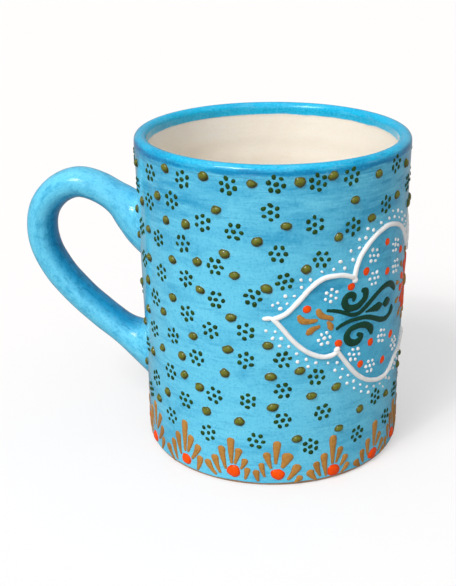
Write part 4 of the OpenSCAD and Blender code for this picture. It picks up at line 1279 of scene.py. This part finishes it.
class MUG_OT_studio(Operator):
    """Sets the pale floor, the soft light and the camera"""

    bl_idname = "mug.studio"
    bl_label = "Studio"

    def execute(self, context):
        scene, studio = context.scene, context.scene.mug_studio
        scene.view_settings.view_transform = "Standard"

        def put(name, data, place):
            """Links an object to the scene."""
            made = bpy.data.objects.new(name, data)
            made.location = place
            scene.collection.objects.link(made)
            return made

        work = bmesh.new()
        bmesh.ops.create_grid(work, x_segments=8, y_segments=8, size=FLOOR_HALF)
        mesh = bpy.data.meshes.new("floor")
        work.to_mesh(mesh)
        work.free()
        material, w, shader, _ = new_material("floor")
        rays = w.put("LightPath").outputs
        shade = w.mix(rays["Is Glossy Ray"], studio.floor, studio.floor_mirrored)
        w.join(shader, Base_Color=shade, Roughness=0.9, Emission_Color=(1, 1, 1),
               Emission_Strength=w.times(rays["Is Camera Ray"], FLOOR_GLOW))
        mesh.materials.append(material)
        floor = put("floor", mesh, (0, 0, -0.02 * MM))

        scene.world = bpy.data.worlds.new("studio")
        scene.world.use_nodes = True
        tree = scene.world.node_tree
        Wires(tree).join(tree.nodes["Background"], Color=(1, 1, 1), Strength=WORLD_GLOW)

        for name, azimuth, elevation, softness, power in LAMPS:
            data = bpy.data.lights.new(name, "SUN")
            data.angle = math.radians(softness)
            data.energy = power
            ray = toward(math.radians(azimuth), math.radians(elevation))
            put(name, data, ray).rotation_euler = ray.to_track_quat("Z", "Y").to_euler()

        data = bpy.data.cameras.new("camera")
        data.lens = studio.lens
        data.sensor_width = 36
        data.shift_x = studio.shift
        data.clip_start = 0.01
        ray = studio.distance * toward(studio.azimuth, studio.elevation)
        scene.camera = put("camera", data, Vector((0, 0, studio.target_z)) + ray)
        scene.camera.rotation_euler = (-ray).to_track_quat("-Z", "Y").to_euler()
        return {"FINISHED"}


OPERATORS = (
    MUG_OT_clay, MUG_OT_wall, MUG_OT_rim, MUG_OT_lining, MUG_OT_handle, MUG_OT_ground, MUG_OT_outline,
    MUG_OT_beads, MUG_OT_red_dots, MUG_OT_scrolls, MUG_OT_sprigs, MUG_OT_flower, MUG_OT_domes,
    MUG_OT_green_dots, MUG_OT_palmettes, MUG_OT_studio)
SETTINGS = (
    ("mug_sizes", MugSizes), ("mug_handle", MugHandle), ("mug_colours", MugColours),
    ("mug_studio", MugStudio))


class MUG_PT_panel(Panel):
    """Lists the settings and the steps in the order of building"""

    bl_label = "Mug"
    bl_idname = "MUG_PT_panel"
    bl_space_type = "VIEW_3D"
    bl_region_type = "UI"
    bl_category = "Mug"

    def draw(self, context):
        for name, kind in SETTINGS:
            box = self.layout.box()
            for key in kind.__annotations__:
                box.prop(getattr(context.scene, name), key)
        for operator in OPERATORS:
            self.layout.operator(operator.bl_idname)


def register():
    for name, kind in SETTINGS:
        bpy.utils.register_class(kind)
        setattr(bpy.types.Scene, name, PointerProperty(type=kind))
    for kind in OPERATORS + (MUG_PT_panel,):
        bpy.utils.register_class(kind)


def unregister():
    for kind in reversed(OPERATORS + (MUG_PT_panel,)):
        bpy.utils.unregister_class(kind)
    for name, kind in reversed(SETTINGS):
        delattr(bpy.types.Scene, name)
        bpy.utils.unregister_class(kind)


def main():
    register()
    for operator in OPERATORS:
        area, step = operator.bl_idname.split(".")
        getattr(getattr(bpy.ops, area), step)()


if __name__ == "__main__":
    main()
